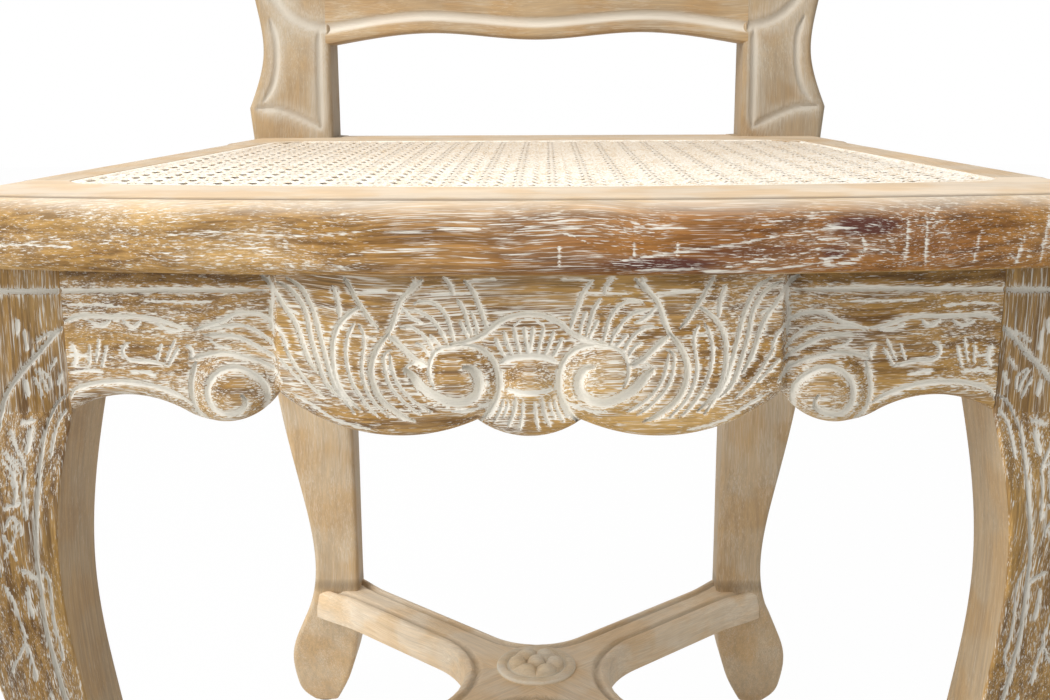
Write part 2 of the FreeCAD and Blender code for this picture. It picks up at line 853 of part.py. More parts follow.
def rosette_screw():
    head = V(0, crossing().y, stretcher_height - stretcher_thickness)
    return head, V(0, 0, 1), stretcher_thickness + rosette_bite


# Glides

def glide(x, y):
    disc = peg(V(x, y, 0), V(0, 0, 1), glide_thickness, glide_radius)
    pin = peg(V(x, y, 0), V(0, 0, 1), glide_thickness + glide_pin_length, glide_pin_radius)
    return disc.fuse(pin).removeSplitter()


def sole_middles():
    front_x = (leg_outer + sole_out + leg_inner + sole_in) / 2
    front_y = (leg_setback - sole_out + leg_back - sole_in) / 2
    rear_x = (post_inner + rear_sole_inside + post_outer + rear_sole_side) / 2
    rear_y = (seat_depth + rear_sole_front + post_back + rear_sole_back) / 2
    return (front_x, front_y), (rear_x, rear_y)


# The chair, right-hand pieces first

def add_pair(chair, name, right):
    chair[name + "_right"] = right
    chair[name + "_left"] = mirrored(right)


def build_chair():
    chair = {}
    dowels = seat_dowels()
    crest_pegs = crest_dowels()
    stretcher_pegs = stretcher_dowels()
    (front_leg_screw, front_seat_screw), (rear_leg_screw, rear_seat_screw) = block_screws()
    front_glide, rear_glide = [glide(x, y) for x, y in sole_middles()]
    boss_screw = rosette_screw()

    leg_blank = front_leg()
    post_blank = rear_post()
    side_mortises = side_tenons(fit, end_gap)
    leg = cut_all(leg_blank, front_tenons(fit, end_gap) + side_mortises + stretcher_pegs)
    leg = cut_all(leg, [screw(*front_leg_screw), front_glide])
    post = cut_all(post_blank, rear_tenons(fit, end_gap) + side_mortises + rail_tenons(fit, end_gap))
    post = cut_all(post, crest_pegs + stretcher_pegs + [screw(*rear_leg_screw), rear_glide])
    add_pair(chair, "front_leg", leg)
    add_pair(chair, "rear_post", post)

    chair["front_apron"] = front_apron()
    add_pair(chair, "side_apron", side_apron())
    chair["rear_apron"] = rear_apron()

    block_plans = block_corners()
    near = glue_block(block_plans[0], [chair["front_apron"], chair["side_apron_right"], leg_blank])
    far = glue_block(block_plans[1], [chair["rear_apron"], chair["side_apron_right"], post_blank])
    near = cut_all(near, [screw_hole(*front_leg_screw), screw_hole(*front_seat_screw)])
    far = cut_all(far, [screw_hole(*rear_leg_screw), screw_hole(*rear_seat_screw)])
    add_pair(chair, "corner_block_front", near)
    add_pair(chair, "corner_block_rear", far)

    seat_screws = [screw(*front_seat_screw), screw(*rear_seat_screw)]
    seat_screws += [mirrored(one) for one in seat_screws]
    leg_screws = [screw(*front_leg_screw), screw(*rear_leg_screw)]
    leg_screws += [mirrored(one) for one in leg_screws]
    frame = cut_all(seat_frame(), dowels + seat_screws)
    front_joint, rear_joint = seat_joints()
    sides = frame.common(band_y(front_joint, rear_joint))
    chair["seat_front_rail"] = frame.common(band_y(-reach, front_joint))
    chair["seat_rear_rail"] = frame.common(band_y(rear_joint, reach))
    chair["seat_left_rail"] = sides.common(box(-reach, 0, -reach, reach, 0, reach))
    chair["seat_right_rail"] = sides.common(box(0, reach, -reach, reach, 0, reach))
    chair["seat_cane"] = seat_cane()
    chair["seat_spline"] = seat_spline_ring()

    chair["crest_rail"] = cut_all(crest_rail(), crest_pegs)
    chair["lower_back_rail"] = lower_back_rail()
    chair["back_cane"] = back_cane()
    chair["back_spline"] = back_spline_ring()

    legs = [leg_blank, mirrored(leg_blank), post_blank, mirrored(post_blank)]
    for name, bar in zip(("stretcher_bar_left", "stretcher_bar_right"), stretcher_bars()):
        chair[name] = cut_all(bar, legs + stretcher_pegs + [screw(*boss_screw)])
    chair["stretcher_rosette"] = rosette().cut(screw(*boss_screw))

    add_pair(chair, "foot_glide_front", front_glide)
    add_pair(chair, "foot_glide_rear", rear_glide)
    chair["seat_dowels"] = Part.makeCompound(dowels)
    chair["crest_dowels"] = Part.makeCompound(crest_pegs)
    chair["stretcher_dowels"] = Part.makeCompound(stretcher_pegs)
    chair["leg_screws"] = Part.makeCompound(leg_screws)
    chair["seat_screws"] = Part.makeCompound(seat_screws)
    chair["rosette_screw"] = screw(*boss_screw)
    return chair


os.makedirs("parts", exist_ok=True)
chair = build_chair()
whole = Part.makeCompound(list(chair.values())).optimalBoundingBox(False)
to_origin = V(0, -whole.Center.y, 0)
for name, shape in chair.items():
    placed = shape.copy()
    placed.translate(to_origin)
    placed.exportStep("parts/" + name + ".step")
    print(name, len(placed.Solids), round(placed.Volume / 1000, 1), placed.isValid())
print("box", [round(size, 1) for size in (whole.XLength, whole.YLength, whole.ZLength)])
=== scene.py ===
import bpy
import math
import numpy as np
from mathutils import Matrix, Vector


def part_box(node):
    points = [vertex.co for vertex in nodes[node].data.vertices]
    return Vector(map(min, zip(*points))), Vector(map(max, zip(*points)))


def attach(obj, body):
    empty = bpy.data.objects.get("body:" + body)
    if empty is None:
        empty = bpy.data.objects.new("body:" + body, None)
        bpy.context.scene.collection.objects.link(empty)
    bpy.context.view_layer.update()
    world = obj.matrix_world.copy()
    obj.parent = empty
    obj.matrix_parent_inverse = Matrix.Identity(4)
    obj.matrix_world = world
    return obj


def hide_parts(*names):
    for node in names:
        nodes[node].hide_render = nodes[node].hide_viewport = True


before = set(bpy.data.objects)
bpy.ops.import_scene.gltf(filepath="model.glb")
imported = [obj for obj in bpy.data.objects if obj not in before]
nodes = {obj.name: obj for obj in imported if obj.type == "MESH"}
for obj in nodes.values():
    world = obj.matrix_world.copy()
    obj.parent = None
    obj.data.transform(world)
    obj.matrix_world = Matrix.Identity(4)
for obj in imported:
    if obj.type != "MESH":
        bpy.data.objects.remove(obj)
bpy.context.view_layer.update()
scene = bpy.context.scene
print("frame loaded:", len(nodes), "nodes")

# Lengths below are in millimetres, with y counted from the seat's front line.
noseDepth = 10.0
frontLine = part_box("seat_front_rail")[0].y * 1000 + noseDepth
mm = 0.001

seat = {"top": 468.0, "under": 438.0, "depth": 432.0, "frontHalf": 247.0, "rearHalf": 205.0,
        "bow": 27.0, "corner": 30.0, "frontBand": 46.0, "sideBand": 30.0, "rearBand": 45.0,
        "openCorner": 8.0, "topRound": 11.0, "underRound": 6.0, "wear": 0.35}
caneFit = {"ledge": 9.0, "spline": 5.0, "rebate": 2.2}
caneRing = caneFit["ledge"] + caneFit["spline"]  # from the opening to the far side of the spline
back = {"tilt": math.radians(9.5), "bend": 42.0, "thick": 30.0, "joint": 880.0, "corner": 38.0}
flip = np.array([-1, 1])  # mirrors a plan across the chair's middle
bothSides = ((1, "right"), (-1, "left"))


# Small curve tools

# Natural cubic through (knots, values): the second derivatives solve a three-band system.
def spline(knots, values, at):
    knots = np.asarray(knots, float)
    values = np.asarray(values, float)
    gap = np.diff(knots)
    last = len(knots) - 1
    bands = np.zeros((last + 1, last + 1))
    bands[0, 0] = bands[last, last] = 1
    mid = np.arange(1, last)
    bands[mid, mid - 1] = gap[:-1]
    bands[mid, mid] = 2 * (gap[:-1] + gap[1:])
    bands[mid, mid + 1] = gap[1:]
    right = np.zeros(last + 1)
    right[1:-1] = 6 * np.diff(np.diff(values) / gap)
    bend = np.linalg.solve(bands, right)
    k = np.clip(np.searchsorted(knots, at, side="right") - 1, 0, last - 1)
    a = (knots[k + 1] - at) / gap[k]
    b = 1 - a
    curl = (a ** 3 - a) * bend[k] + (b ** 3 - b) * bend[k + 1]
    return a * values[k] + b * values[k + 1] + curl * gap[k] ** 2 / 6


# Smooth line through a few points, each coordinate a cubic of the chord length run so far.
def smoothLine(points, count):
    points = np.asarray(points, float)
    run = np.concatenate([[0], np.cumsum(np.linalg.norm(np.diff(points, axis=0), axis=1))])
    at = np.linspace(0, run[-1], count)
    return np.stack([spline(run, points[:, k], at) for k in range(points.shape[1])], axis=1)


# Same number of points spread evenly over a line's length.
def evenly(line, count):
    run = np.concatenate([[0], np.cumsum(np.linalg.norm(np.diff(line, axis=0), axis=1))])
    at = np.linspace(0, run[-1], count)
    return np.stack([np.interp(at, run, line[:, k]) for k in range(line.shape[1])], axis=1)


# Centre and radius of the circle through three points.
def circle(p, q, r):
    p, q, r = (np.asarray(v, float) for v in (p, q, r))
    rows = np.array([q - p, r - p])
    centre = np.linalg.solve(rows, ((rows * (np.array([q, r]) + p)).sum(axis=1)) / 2)
    return centre, float(np.linalg.norm(p - centre))


# Height on the circle through three points at each x, on the side where the middle point lies.
def arcHeight(x, p, q, r):
    centre, radius = circle(p, q, r)
    lift = np.sqrt(np.maximum(radius ** 2 - (x - centre[0]) ** 2, 0))
    return centre[1] + (lift if q[1] > centre[1] else -lift)


# Arc points about a centre from one angle to another, the shorter way round.
def arcPoints(centre, start, end, count):
    a0 = math.atan2(start[1] - centre[1], start[0] - centre[0])
    a1 = math.atan2(end[1] - centre[1], end[0] - centre[0])
    a1 += 2 * math.pi * round((a0 - a1) / (2 * math.pi))
    angle = np.linspace(a0, a1, count)
    radius = math.dist(start, centre)
    return np.stack([centre[0] + radius * np.cos(angle), centre[1] + radius * np.sin(angle)], axis=1)


# Line moved sideways to its right-hand normal by a fixed distance.
def offsetLine(line, distance, closed=False):
    if closed:
        way = np.roll(line, -1, axis=0) - np.roll(line, 1, axis=0)
    else:
        way = np.gradient(line, axis=0)
    way = way / np.linalg.norm(way, axis=1)[:, None]
    return line + distance * np.stack([way[:, 1], -way[:, 0]], axis=1)


# Smooth ramp from 0 at low to 1 at high: three times t squared less twice t cubed.
def smoothStep(value, low, high):
    t = np.clip((value - low) / (high - low), 0, 1)
    return t * t * (3 - 2 * t)


# Rounded channel: full depth on its line, nothing past its half width.
def channel(distance, half):
    return np.clip(1 - (distance / half) ** 2, 0, 1)


# Height of a unit half circle at t from its middle.
def dome(t):
    return np.sqrt(np.clip(1 - t ** 2, 0, 1))


# How far a rounded arris, so high and so deep, draws a face back at a height above its edge.
def roundOver(rise, high, deep):
    return deep * (1 - dome(1 - np.clip(rise / high, 0, 1)))


# One value per station, given to each of so many points.
def spread(column, count):
    return np.repeat(column[:, None], count, axis=1)


# Values that run from one column to another at the shares t.
def between(start, end, t):
    return start[:, None] + t * (end - start)[:, None]


# A face's values at the head of each loop, and one value for the rest of it.
def onFace(values, loops, rest=0.0):
    whole = np.full(loops.shape[:2], rest)
    whole[:, :values.shape[1]] = values
    return whole


# Mesh making

sharpAngle = math.radians(42)


# Puts points and faces into a new piece at the origin. The faces are turned over where the
# volume they enclose comes out negative. Tags become float attributes of the points.
def addPiece(name, points, quads, ends, tags, material, replaced):
    points = np.asarray(points, float)
    solid = quads if not len(ends) else np.concatenate([quads] + [fanQuads(end) for end in ends])
    a, b, c, d = (points[solid[:, k]] for k in range(4))
    volume = (np.cross(a, b) * c).sum() + (np.cross(a, c) * d).sum()
    if volume < 0:
        quads = quads[:, ::-1]
        ends = [end[::-1] for end in ends]
    placed = (points + np.array([0, frontLine, 0])) * mm
    corners = np.concatenate([quads.ravel()] + list(ends)).astype(np.int32)
    sizes = np.concatenate([np.full(len(quads), 4), [len(end) for end in ends]]).astype(np.int32)
    mesh = bpy.data.meshes.new(name)
    mesh.vertices.add(len(placed))
    mesh.vertices.foreach_set("co", placed.astype(np.float32).ravel())
    mesh.loops.add(len(corners))
    mesh.loops.foreach_set("vertex_index", corners)
    mesh.polygons.add(len(sizes))
    begins = np.concatenate([[0], np.cumsum(sizes)[:-1]]).astype(np.int32)
    mesh.polygons.foreach_set("loop_start", begins)
    mesh.polygons.foreach_set("use_smooth", np.ones(len(sizes), bool))
    mesh.update(calc_edges=True)
    mesh.validate()
    mesh.set_sharp_from_angle(angle=sharpAngle)
    for tag, values in tags.items():
        attribute = mesh.attributes.new(tag, "FLOAT", "POINT")
        attribute.data.foreach_set("value", values.astype(np.float32).ravel())
    mesh.materials.append(material)
    piece = bpy.data.objects.new(name, mesh)
    scene.collection.objects.link(piece)
    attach(piece, "root")
    if replaced:
        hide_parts(*replaced)
    return piece


# A flat end as four-cornered fans, only for adding up the volume.
def fanQuads(end):
    end = np.asarray(end)
    inner = np.arange(1, len(end) - 1)
    return np.stack([np.full(len(inner), end[0]), end[inner], end[inner + 1], end[inner + 1]], axis=1)


# Faces between neighbouring stations of a grid of station x loop points.
def gridFaces(stations, around, wrapStations=False):
    row = np.arange(stations if wrapStations else stations - 1)[:, None]
    col = np.arange(around)[None, :]
    nextRow = (row + 1) % stations
    nextCol = (col + 1) % around
    return np.stack([row * around + col, row * around + nextCol, nextRow * around + nextCol,
                     nextRow * around + col], axis=-1).reshape(-1, 4)


# Closed loops carried from station to station, with a flat face at each end.
def carried(name, loops, tags, material, replaced=(), ring=False):
    stations, around = loops.shape[:2]
    faces = gridFaces(stations, around, ring)
    first = np.arange(around)
    ends = [] if ring else [first[::-1], first + (stations - 1) * around]
    return addPiece(name, loops.reshape(-1, 3), faces, ends, tags, material, replaced)


# Several meshes of the same kind as one list of points and faces.
def gathered(parts):
    starts = np.cumsum([0] + [len(points) for points, faces in parts[:-1]])
    points = np.concatenate([points for points, faces in parts])
    faces = np.concatenate([faces + start for (points, faces), start in zip(parts, starts)])
    return points, faces


# Carving: every stroke is (points, width, depth). At each place the deepest stroke counts, a
# stroke being a channel about its smooth line, half round and half pointed, that narrows towards
# both ends. Paste lies thick in the channel and thin in a haze beside it.
def carve(x, z, strokes):
    depth = np.zeros_like(x)
    paste = np.zeros_like(x)
    for points, width, cut in strokes:
        length = np.linalg.norm(np.diff(np.asarray(points, float), axis=0), axis=1).sum()
        count = int(max(length / 0.5, 8))
        line = smoothLine(points, count)
        t = np.linspace(0, 1, count)
        half = width / 2 * np.clip(0.35 + 5 * np.minimum(t, 1 - t), 0, 1)
        reach = 2 * width
        near = ((x > line[:, 0].min() - reach) & (x < line[:, 0].max() + reach)
                & (z > line[:, 1].min() - reach) & (z < line[:, 1].max() + reach))
        if not near.any():
            continue
        far = np.hypot(x[near][:, None] - line[:, 0], z[near][:, None] - line[:, 1]) / half
        far = far.min(axis=1)
        profile = 0.5 * channel(far, 1.0) + 0.5 * np.clip(1 - far, 0, 1)
        depth[near] = np.maximum(depth[near], cut * profile)
        white = np.maximum(smoothStep(far, 1.05, 0.5), 0.48 * smoothStep(far, 3.6, 0.9))
        paste[near] = np.maximum(paste[near], white)
    return depth, paste


# Seat plan: half width at y, straight from the front corner to the rear.
def seatSide(y):
    cornerY = seat["bow"] - noseDepth
    slope = (seat["rearHalf"] - seat["frontHalf"]) / (seat["depth"] - cornerY)
    return seat["frontHalf"] + slope * (y - cornerY)


# How far the front line falls back at x: a parabola over the half width.
def bow(x):
    return seat["bow"] * (np.asarray(x) / seat["frontHalf"]) ** 2


# Corner points of the cane field drawn in by inset: front half width and y, rear half width and y.
def fieldCorners(inset):
    frontX = seatSide(seat["frontBand"] + inset + seat["bow"]) - seat["sideBand"] - inset
    frontY = seat["frontBand"] + inset + float(bow(frontX))
    rearY = seat["depth"] - seat["rearBand"] - inset
    return frontX, frontY, seatSide(rearY) - seat["sideBand"] - inset, rearY


# Arc that rounds the corner between two directions by a radius.
def roundedCorner(before, corner, after, radius, count):
    u = (before - corner) / np.linalg.norm(before - corner)
    v = (after - corner) / np.linalg.norm(after - corner)
    half = math.acos(float(u @ v)) / 2
    centre = corner + (u + v) / np.linalg.norm(u + v) * radius / math.sin(half)
    reachLength = radius / math.tan(half)
    return arcPoints(centre, corner + u * reachLength, corner + v * reachLength, count)


# Right half of the seat opening drawn in by inset: front middle, corner, side, corner, rear middle.
def fieldRight(inset, count=160):
    frontX, frontY, rearX, rearY = fieldCorners(inset)
    radius = seat["openCorner"] + caneRing - inset
    middle = (0, seat["frontBand"] + inset)
    x = np.linspace(0, frontX, 80)
    front = np.stack([x, arcHeight(x, (-frontX, frontY), middle, (frontX, frontY))], axis=1)
    corner = np.array([frontX, frontY])
    rear = np.array([rearX, rearY])
    bendOne = roundedCorner(front[-20], corner, rear, radius, 10)
    bendTwo = roundedCorner(corner, rear, np.array([0, rearY]), radius, 10)
    keep = front[front[:, 0] < bendOne[0, 0]]
    return evenly(np.concatenate([keep, bendOne, bendTwo, [[0, rearY]]]), count)


# Closed line from its right half, which starts and ends on the middle.
def mirrorLoop(right):
    return np.concatenate([right, right[1:-1][::-1] * flip])


# Back plan, seen from the front as (x, z): y of the tilted face at a height.
def backY(z):
    return seat["depth"] + (z - seat["top"] - back["bend"]) * math.tan(back["tilt"])


outlineKnots = [(208, 489), (197, 526), (202, 563), (232, 798), (212, 938), (156, 980), (81, 992),
                (0, 1015)]
openingKnots = {"low": (148, 604), "wide": (187, 790), "high": (171, 925), "top": (0, 945),
                "sill": (0, 596)}


# Right half of the frame's outer line, a smooth line through both halves' knots.
def outerRight():
    right = np.asarray(outlineKnots, float)
    whole = smoothLine(np.concatenate([right, right[:-1][::-1] * flip]), 801)
    return whole[:401]


# Fillet circle that touches two circles from inside, near a corner.
def insideFillet(one, two, radius, corner):
    (c1, r1), (c2, r2) = one, two
    d1, d2 = r1 - radius, r2 - radius
    gap = c2 - c1
    far = float(np.linalg.norm(gap))
    along = (d1 ** 2 - d2 ** 2 + far ** 2) / (2 * far)
    side = math.sqrt(max(d1 ** 2 - along ** 2, 0))
    unit = gap / far
    normal = np.array([-unit[1], unit[0]])
    spots = [c1 + unit * along + normal * side, c1 + unit * along - normal * side]
    centre = min(spots, key=lambda spot: math.dist(spot, corner))
    return centre, c1 + (centre - c1) * r1 / d1, c2 + (centre - c2) * r2 / d2


# Right half of the back opening from the sill's middle to the top's middle, arcs joined by fillets.
def openingRight(grow=0.0, count=260):
    k = openingKnots
    sill = circle(np.array(k["low"]) * flip, k["sill"], k["low"])
    cheek = circle(k["low"], k["wide"], k["high"])
    head = circle(np.array(k["high"]) * flip, k["top"], k["high"])
    # the sill sags, so its circle bends the same way as the others
    lowCentre, lowA, lowB = insideFillet(sill, cheek, back["corner"], k["low"])
    highCentre, highA, highB = insideFillet(cheek, head, back["corner"], k["high"])
    arcs = [(sill[0], k["sill"], lowA, 30), (lowCentre, lowA, lowB, 24), (cheek[0], lowB, highA, 60),
            (highCentre, highA, highB, 24), (head[0], highB, k["top"], 30)]
    line = np.concatenate([[k["sill"]]] + [arcPoints(*arc)[1:] for arc in arcs])
    line = offsetLine(evenly(line, count), grow)
    line[0, 0] = line[-1, 0] = 0
    return line


# Materials

colours = {"dark": (0.165, 0.083, 0.024), "wood": (0.385, 0.218, 0.062), "light": (0.53, 0.33, 0.115),
           "lime": (0.80, 0.77, 0.69), "heart": (0.085, 0.017, 0.007), "ruddy": (0.82, 0.60, 0.46)}


class Nodes:
    # Short hand for a node tree. An input takes a socket, which is linked, or a value, which is set.
    def __init__(self, tree):
        self.tree = tree

    def link(self, source, socket):
        if isinstance(source, bpy.types.NodeSocket):
            self.tree.links.new(source, socket)
        else:
            socket.default_value = source

    def make(self, kind, inputs=None, **settings):
        node = self.tree.nodes.new(kind)
        for key, setting in settings.items():
            setattr(node, key, setting)
        for key, source in (inputs or {}).items():
            self.link(source, node.inputs[key])
        return node

    def math(self, operation, *values, clamp=False):
        inputs = dict(enumerate(values))
        return self.make("ShaderNodeMath", inputs, operation=operation, use_clamp=clamp).outputs[0]

    def vector(self, operation, one, two):
        return self.make("ShaderNodeVectorMath", {0: one, 1: two}, operation=operation).outputs[0]

    def step(self, value, low, high):
        inputs = {"Value": value, "From Min": low, "From Max": high, "To Min": 0.0, "To Max": 1.0}
        return self.make("ShaderNodeMapRange", inputs, interpolation_type="SMOOTHSTEP").outputs[0]

    def mix(self, factor, one, two, blend="MIX"):
        node = self.make("ShaderNodeMix", data_type="RGBA", blend_type=blend, clamp_result=True)
        for socket, source in ((0, factor), (6, one), (7, two)):
            opaque = (*source, 1) if isinstance(source, tuple) else source
            self.link(opaque, node.inputs[socket])
        return node.outputs[2]

    def noise(self, vector, scale, detail=2.0, rough=0.5):
        inputs = {"Vector": vector, "Scale": scale, "Detail": detail, "Roughness": rough}
        return self.make("ShaderNodeTexNoise", inputs).outputs[0]

    def place(self):
        return self.make("ShaderNodeTexCoord").outputs["Object"]

    def tag(self, name):
        return self.make("ShaderNodeAttribute", attribute_name=name).outputs["Fac"]

    def bump(self, shader, height, strength, distance):
        inputs = {"Height": height, "Strength": strength, "Distance": distance}
        self.link(self.make("ShaderNodeBump", inputs).outputs[0], shader.inputs["Normal"])


# New material with its node tree's short hand and its shader.
def newMaterial(name):
    material = bpy.data.materials.new(name)
    material.use_nodes = True
    tree = material.node_tree
    shader = tree.nodes["Principled BSDF"]
    return material, Nodes(tree), shader


# Limed wood: brown wood with white paste held in its pores and cuts. grain is the angle of the
# fibres about z, or None for fibres that stand upright. lime is how much white is left on it. The
# pattern gives way to an even, fine-lined colour by calm everywhere, or by the points' painted
# light tag, a lighter even colour painted where more light should fall. The points' shade is painted
# shade that darkens the colour, and painted light where it is below 0.
def limedWood(name, grain, lime=1.0, calm=0.0, offset=0.0, even=(0.45, 0.33, 0.2)):
    material, n, shader = newMaterial(name)
    place = n.place()
    turn = (0, math.pi / 2, 0) if grain is None else (0, 0, -grain)
    inputs = {"Vector": place, "Rotation": turn, "Location": (offset, offset, 0)}
    along = n.make("ShaderNodeMapping", inputs).outputs[0]

    # a slow wander keeps the fibres from being ruled lines
    inputs = {"Vector": along, "Scale": 11.0, "Detail": 1.0}
    wander = n.make("ShaderNodeTexNoise", inputs).outputs["Color"]
    shift = n.vector("MULTIPLY", n.vector("SUBTRACT", wander, (0.5, 0.5, 0.5)), (0.0, 0.012, 0.012))
    along = n.vector("ADD", along, shift)

    def fibres(lengthways, crossways, detail=2.0):
        scale = (lengthways, crossways, crossways)
        stretched = n.make("ShaderNodeMapping", {"Vector": along, "Scale": scale}).outputs[0]
        return n.noise(stretched, 1.0, detail, 0.6)

    def grey(value):
        return n.make("ShaderNodeCombineColor", {0: value, 1: value, 2: value}).outputs[0]

    tone = fibres(14, 400, 4.0)
    fine = fibres(55, 1500, 3.0)
    blotch = fibres(9, 30)
    wood = n.mix(n.step(tone, 0.36, 0.62), colours["dark"], colours["wood"])
    wood = n.mix(n.step(blotch, 0.42, 0.75), wood, colours["light"])
    wood = n.mix(1.0, wood, grey(n.math("MULTIPLY_ADD", fine, 1.5, 0.25)), "MULTIPLY")

    # white pores: short streaks along the fibres, thick in some patches and rubbed off in others
    pores = fibres(34, 1700)
    finer = fibres(60, 2800)
    patch = fibres(16, 75, 3.0)
    bare, paste, heart, paintedLight, shade = (n.tag(name) for name in ("bare", "paste", "heart", "paintedLight", "shade"))
    amount = n.math("MULTIPLY", n.step(patch, 0.34, 0.64), lime)
    amount = n.math("MULTIPLY", amount, n.math("SUBTRACT", 1.0, n.math("MULTIPLY", bare, 0.9)))
    amount = n.math("MULTIPLY", amount, n.math("MULTIPLY_ADD", n.step(heart, 0.15, 0.7), -0.5, 1.0))
    edge = n.math("MULTIPLY_ADD", amount, -0.16, 0.645)
    streak = n.math("MULTIPLY", n.step(pores, edge, n.math("ADD", edge, 0.07)), 0.9)
    fineEdge = n.math("MULTIPLY_ADD", amount, -0.12, 0.615)
    fineStreak = n.math("MULTIPLY", n.step(finer, fineEdge, n.math("ADD", fineEdge, 0.08)), 0.6)
    white = n.math("MAXIMUM", streak, fineStreak)
    white = n.math("MAXIMUM", white, n.math("MULTIPLY", amount, 0.10))
    broken = n.math("ADD", n.math("MULTIPLY_ADD", pores, 1.9, -0.95), paste)
    filled = n.math("MULTIPLY", n.step(broken, 0.28, 0.66), 0.96)
    white = n.math("MAXIMUM", white, filled, clamp=True)

    # the heart is ruddy at its rim and dark within, ragged along the fibres
    wood = n.mix(n.step(heart, 0.0, 0.22), wood, n.mix(1.0, wood, colours["ruddy"], "MULTIPLY"))
    ragged = n.math("MULTIPLY_ADD", tone, 1.3, n.math("SUBTRACT", heart, 0.65))
    heartwood = n.step(ragged, 0.34, 0.86)
    wood = n.mix(n.math("MULTIPLY", heartwood, n.step(heart, 0.02, 0.25)), wood, colours["heart"])
    dusty = n.math("MULTIPLY_ADD", n.math("ADD", finer, blotch), 0.34, 0.66)
    limed = n.mix(1.0, colours["lime"], grey(dusty), "MULTIPLY")
    colour = n.mix(white, wood, limed)

    # calm places keep only fine lines and warm clouds on their even colour
    lines = n.math("MULTIPLY_ADD", n.math("ADD", n.math("ADD", fine, tone), blotch), 0.3, 0.55)
    # painted light: where the points are tagged for it, the lighter even colour stands in for more light
    calmed = n.math("MAXIMUM", paintedLight, calm)
    warm = tuple(a * b for a, b in zip(even, (0.95, 0.84, 0.69)))
    clouded = n.mix(n.math("MULTIPLY", n.step(n.noise(place, 30.0), 0.42, 0.62), 0.85), even, warm)
    colour = n.mix(calmed, colour, n.mix(1.0, clouded, grey(lines), "MULTIPLY"))
    colour = n.mix(n.math("MULTIPLY", n.math("MULTIPLY", paste, calmed), 0.6), colour, limed)
    # painted shade: the points' shade darkens the colour, and paints light where it is below 0
    colour = n.mix(1.0, colour, grey(n.math("MULTIPLY_ADD", shade, -0.6, 1.0)), "MULTIPLY")
    n.link(colour, shader.inputs["Base Color"])
    n.link(n.math("MULTIPLY_ADD", white, 0.22, 0.55), shader.inputs["Roughness"])
    height = n.math("MULTIPLY_ADD", fine, 0.5, n.math("MULTIPLY", streak, -0.5))
    n.bump(shader, height, 0.4, 0.0004)
    shader.inputs["Specular IOR Level"].default_value = 0.2
    return material


# Split cane: blotched straw colours with white specks, greyer by the points' shade, which is painted shade.
def caneSkin(name):
    material, n, shader = newMaterial(name)
    place = n.place()
    blotch = n.noise(place, 60.0, 3.0, 0.6)
    speck = n.noise(place, 900.0, 2.0, 0.6)
    colour = n.mix(n.step(blotch, 0.35, 0.65), (0.72, 0.58, 0.40), (0.84, 0.75, 0.61))
    colour = n.mix(n.math("MULTIPLY", n.step(speck, 0.42, 0.56), 0.8), colour, (0.92, 0.89, 0.83))
    shade = n.tag("shade")
    # painted shade: a greyer copy of the cane colour
    wearAndShade = n.mix(1.0, colour, (0.80, 0.76, 0.72), "MULTIPLY")
    n.link(n.mix(shade, colour, wearAndShade), shader.inputs["Base Color"])
    shader.inputs["Roughness"].default_value = 0.55
    n.bump(shader, speck, 0.3, 0.0003)
    return material


# Plain stuff out of sight: a base colour broken by noise along one axis.
def plainStuff(name, dark, light, scale, rough, metal=0.0):
    material, n, shader = newMaterial(name)
    place = n.place()
    grainy = n.make("ShaderNodeMapping", {"Vector": place, "Scale": scale}).outputs[0]
    tone = n.noise(grainy, 1.0, 3.0, 0.6)
    n.link(n.mix(n.step(tone, 0.35, 0.65), dark, light), shader.inputs["Base Color"])
    n.bump(shader, tone, 0.2, 0.0003)
    shader.inputs["Roughness"].default_value = rough
    shader.inputs["Metallic"].default_value = metal
    return material


limedApron = limedWood("limedApron", 0.0, 0.85)
limedNose = limedWood("limedNose", 0.0, 0.58, 0.0, 0.53, (0.71, 0.59, 0.45))
limedLeg = limedWood("limedLeg", None, 0.5, 0.0, 0.17, (0.49, 0.385, 0.255))
limedSide = limedWood("limedSide", math.pi / 2, 0.8, 0.3, 0.31, (0.60, 0.48, 0.34))
limedPost = limedWood("limedPost", None, 0.95, 0.8, 0.23, (0.555, 0.44, 0.30))
limedRail = limedWood("limedRail", 0.0, 0.95, 0.8, 0.37, (0.435, 0.32, 0.195))
limedRear = limedWood("limedRear", 0.0, 0.8, 0.8, 0.41, (0.62, 0.50, 0.36))
# the boss's even colour is made lighter, painted light for the shade under the seat
limedBoss = limedWood("limedBoss", 0.0, 0.95, 0.8, 0.47, (0.83, 0.76, 0.63))
caneMaterial = caneSkin("caneSkin")
splineMaterial = caneSkin("splineSkin")
print("materials made")


# Front apron: at each x a loop of face, underside, back and top. The face is the bowed plank's
# front, brought forward in the carved middle, swollen at the scrolls and cut by the strokes.
apron = {"top": 438.0, "half": 194.0, "face": 4.0, "thick": 24.0, "relief": 5.0, "panelHalf": 102.5,
         "rows": 118, "columns": 620, "roll": 6.0, "rollBack": 5.0, "sink": 0.4, "stripLow": 430.6,
         "stripHigh": 433.5}
# lower edge as arcs, each (start, a point on it, end)
apronEdge = [((0, 370.5), (10.6, 372.3), (21, 377.5)), ((21, 377.5), (61.75, 371), (102.5, 388)),
             ((102.5, 388), (124, 374), (142.5, 377)), ((142.5, 377), (170, 383.5), (194, 376))]
